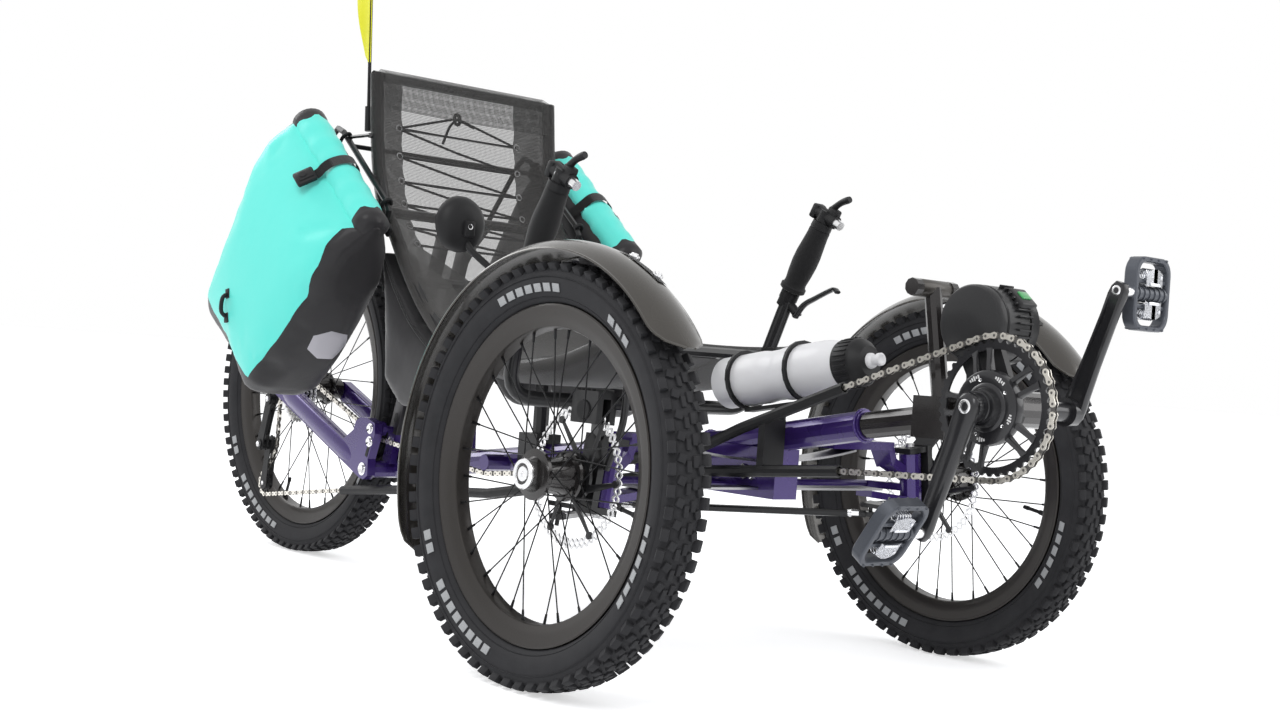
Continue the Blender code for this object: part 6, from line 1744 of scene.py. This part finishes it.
pouch = stuffed(loft(rows), 0.0065, lambda co: co.x < 0.134, 1.6, 14)
top_seam = bmesh.new()
seam_line = [bag_middle.lerp(point, 0.91) for point in bag_outline[5:]]
pipe(top_seam, smooth([Vector((0.1992, p.y, p.z)) for p in seam_line], 5), 0.0016, 8)
for word, turn in (("left", lambda bm: bm), ("right", mirrored)):
    made = piece(f"side_pouch_{word}", turn(pouch.copy()), nylon, "chassis", 50)
    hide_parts(f"side_bag_{word}")
    piece(f"side_pouch_trim_{word}", turn(top_seam.copy()), webbing, "chassis", 50)

mast_top, pennant_height = 1.450, 0.550
mast_way = Vector((0, 0.09, 1)).normalized()
top_bar = on_frame(*seat_shares[0])
after = on_frame(*seat_shares[1])
way = (after - top_bar).normalized()
top_bar = top_bar + Vector((0, -way.z, way.y)) * 0.0125
mast_foot = top_bar + Vector((-0.1813, 0.0070, 0)) - mast_way * 0.0880
mast_head = mast_foot + mast_way * ((mast_top - mast_foot.z) / mast_way.z)
flag_foot = mast_head - mast_way * 0.580
flag_rows = []
for i in range(41):
    up = i / 40
    # The free edge comes in towards the foot and the top.
    free = 0.10 + 0.90 * math.sin(math.pi * min(1.0, up * 0.92 + 0.04)) ** 0.8 if up > 0 else 0.10
    row = [flag_foot + mast_way * pennant_height * up
           + Vector((0.0036 * math.cos(t), 0.0036 * math.sin(t), 0))
           for t in (math.pi * 1.5, math.pi, math.pi * 0.75)]
    for j in range(1, 11):
        off = 0.055 * free * j / 10
        wave = 0.0030 * math.sin(off * 90 + up * 9) * (j / 10)
        row.append(flag_foot + mast_way * pennant_height * up + Vector((wave + 0.001, 0.002 + off, 0)))
    flag_rows.append(row)
flag_bm = grid(flag_rows)
flag_area = sum(face.calc_area() for face in flag_bm.faces)
flag_width = max(sum((b - a).length for a, b in zip(row, row[1:])) for row in flag_rows)
flag_length = (flag_rows[-1][0] - flag_rows[0][0]).length
pennant_yellow = Finish("pennant_yellow", (0.80, 0.78, 0.02), 0.6, sheen=0.2)
pennant_yellow.colour(
    pennant_yellow.blend(pennant_yellow.noise(12.0), (0.72, 0.72, 0.015), (0.86, 0.84, 0.04)))
pennant_yellow.bump(pennant_yellow.noise(1300.0, 1.0), 0.0003, 0.4)
pennant = piece("pennant", flag_bm, pennant_yellow, "chassis", 60)
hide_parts("flag")


# Stage: a plain pale sweep, a soft key lamp from the left, a wide fill and a pale sky. The camera stands at
# the photograph's low front corner, on the rider's right, rolled as the photograph is.

image_width = 1280.0
camera_place = at(-1.6688, -1.6623, 0.4104)
camera_yaw = math.radians(40.5)
camera_roll = math.radians(4.07)
camera_focal_px = 1716.4
sensor = 36.0

floor_bm = bmesh.new()
bmesh.ops.create_grid(floor_bm, x_segments=1, y_segments=1, size=60.0)
floor_mesh = bpy.data.meshes.new("floor")
floor_bm.to_mesh(floor_mesh)
floor_bm.free()
floor = bpy.data.objects.new("floor", floor_mesh)
bpy.context.scene.collection.objects.link(floor)
pale = Finish("floor_white", (0.93, 0.94, 0.96), 0.6)
light_path = pale.node("ShaderNodeLightPath", {})
lit = pale.node("ShaderNodeMixShader", {})
glow = pale.node("ShaderNodeEmission", {}, Color=(1, 1, 1, 1), Strength=0.55)
both = pale.node("ShaderNodeAddShader", {})
pale.tree.links.new(pale.shader.outputs[0], both.inputs[0])
pale.tree.links.new(glow.outputs[0], both.inputs[1])
shown = pale.number("ShaderNodeMath", {"operation": "MAXIMUM"}, light_path.outputs["Is Glossy Ray"],
                    light_path.outputs["Is Camera Ray"])
pale.feed(lit.inputs[0], shown)
pale.tree.links.new(pale.shader.outputs[0], lit.inputs[1])
pale.tree.links.new(both.outputs[0], lit.inputs[2])
pale.tree.links.new(lit.outputs[0], pale.tree.nodes["Material Output"].inputs["Surface"])
floor_mesh.materials.append(pale.made)

world = bpy.data.worlds.new("studio")
bpy.context.scene.world = world
world.use_nodes = True
sky = world.node_tree
background = sky.nodes["Background"]
background.inputs["Color"].default_value = (1, 1, 1, 1)
path = sky.nodes.new("ShaderNodeLightPath")
seen = path.outputs["Is Camera Ray"]
for ray in ("Is Glossy Ray", "Is Transmission Ray"):
    either = sky.nodes.new("ShaderNodeMath")
    either.operation = "MAXIMUM"
    sky.links.new(seen, either.inputs[0])
    sky.links.new(path.outputs[ray], either.inputs[1])
    seen = either.outputs[0]
strength = sky.nodes.new("ShaderNodeMapRange")
sky.links.new(seen, strength.inputs["Value"])
strength.inputs["To Min"].default_value = 0.55
strength.inputs["To Max"].default_value = 1.0
sky.links.new(strength.outputs["Result"], background.inputs["Strength"])


def lamp(name, place, target, size, watts):
    data = bpy.data.lights.new(name, "AREA")
    data.energy, data.shape, data.size = watts, "DISK", size
    made = bpy.data.objects.new(name, data)
    aim = (Vector(place) - Vector(target)).to_track_quat("Z", "Y").to_matrix().to_4x4()
    made.matrix_world = Matrix.Translation(place) @ aim
    bpy.context.scene.collection.objects.link(made)


lamp("key", (-3.2, -2.2, 3.4), (0, -0.2, 0.3), 2.6, 85)
lamp("fill", (2.6, -3.0, 2.2), (0, -0.2, 0.3), 3.0, 45)
lamp("rim", (-1.0, 3.2, 2.8), (0, 0, 0.5), 2.4, 60)

lens = bpy.data.cameras.new("photo_camera")
lens.sensor_width = sensor
lens.lens = camera_focal_px / image_width * sensor
lens.clip_end = 60.0
camera = bpy.data.objects.new("photo_camera", lens)
forwards = Vector((math.sin(camera_yaw), math.cos(camera_yaw), 0))
rightwards = Vector((math.cos(camera_yaw), -math.sin(camera_yaw), 0))
up = Vector((0, 0, 1))
rolled_right = rightwards * math.cos(camera_roll) + up * math.sin(camera_roll)
rolled_up = up * math.cos(camera_roll) - rightwards * math.sin(camera_roll)
camera_turn = Matrix((rolled_right, rolled_up, -forwards)).transposed().to_4x4()
camera.matrix_world = Matrix.Translation(camera_place) @ camera_turn
bpy.context.scene.collection.objects.link(camera)
bpy.context.scene.camera = camera
bpy.context.scene.view_settings.view_transform = "Standard"
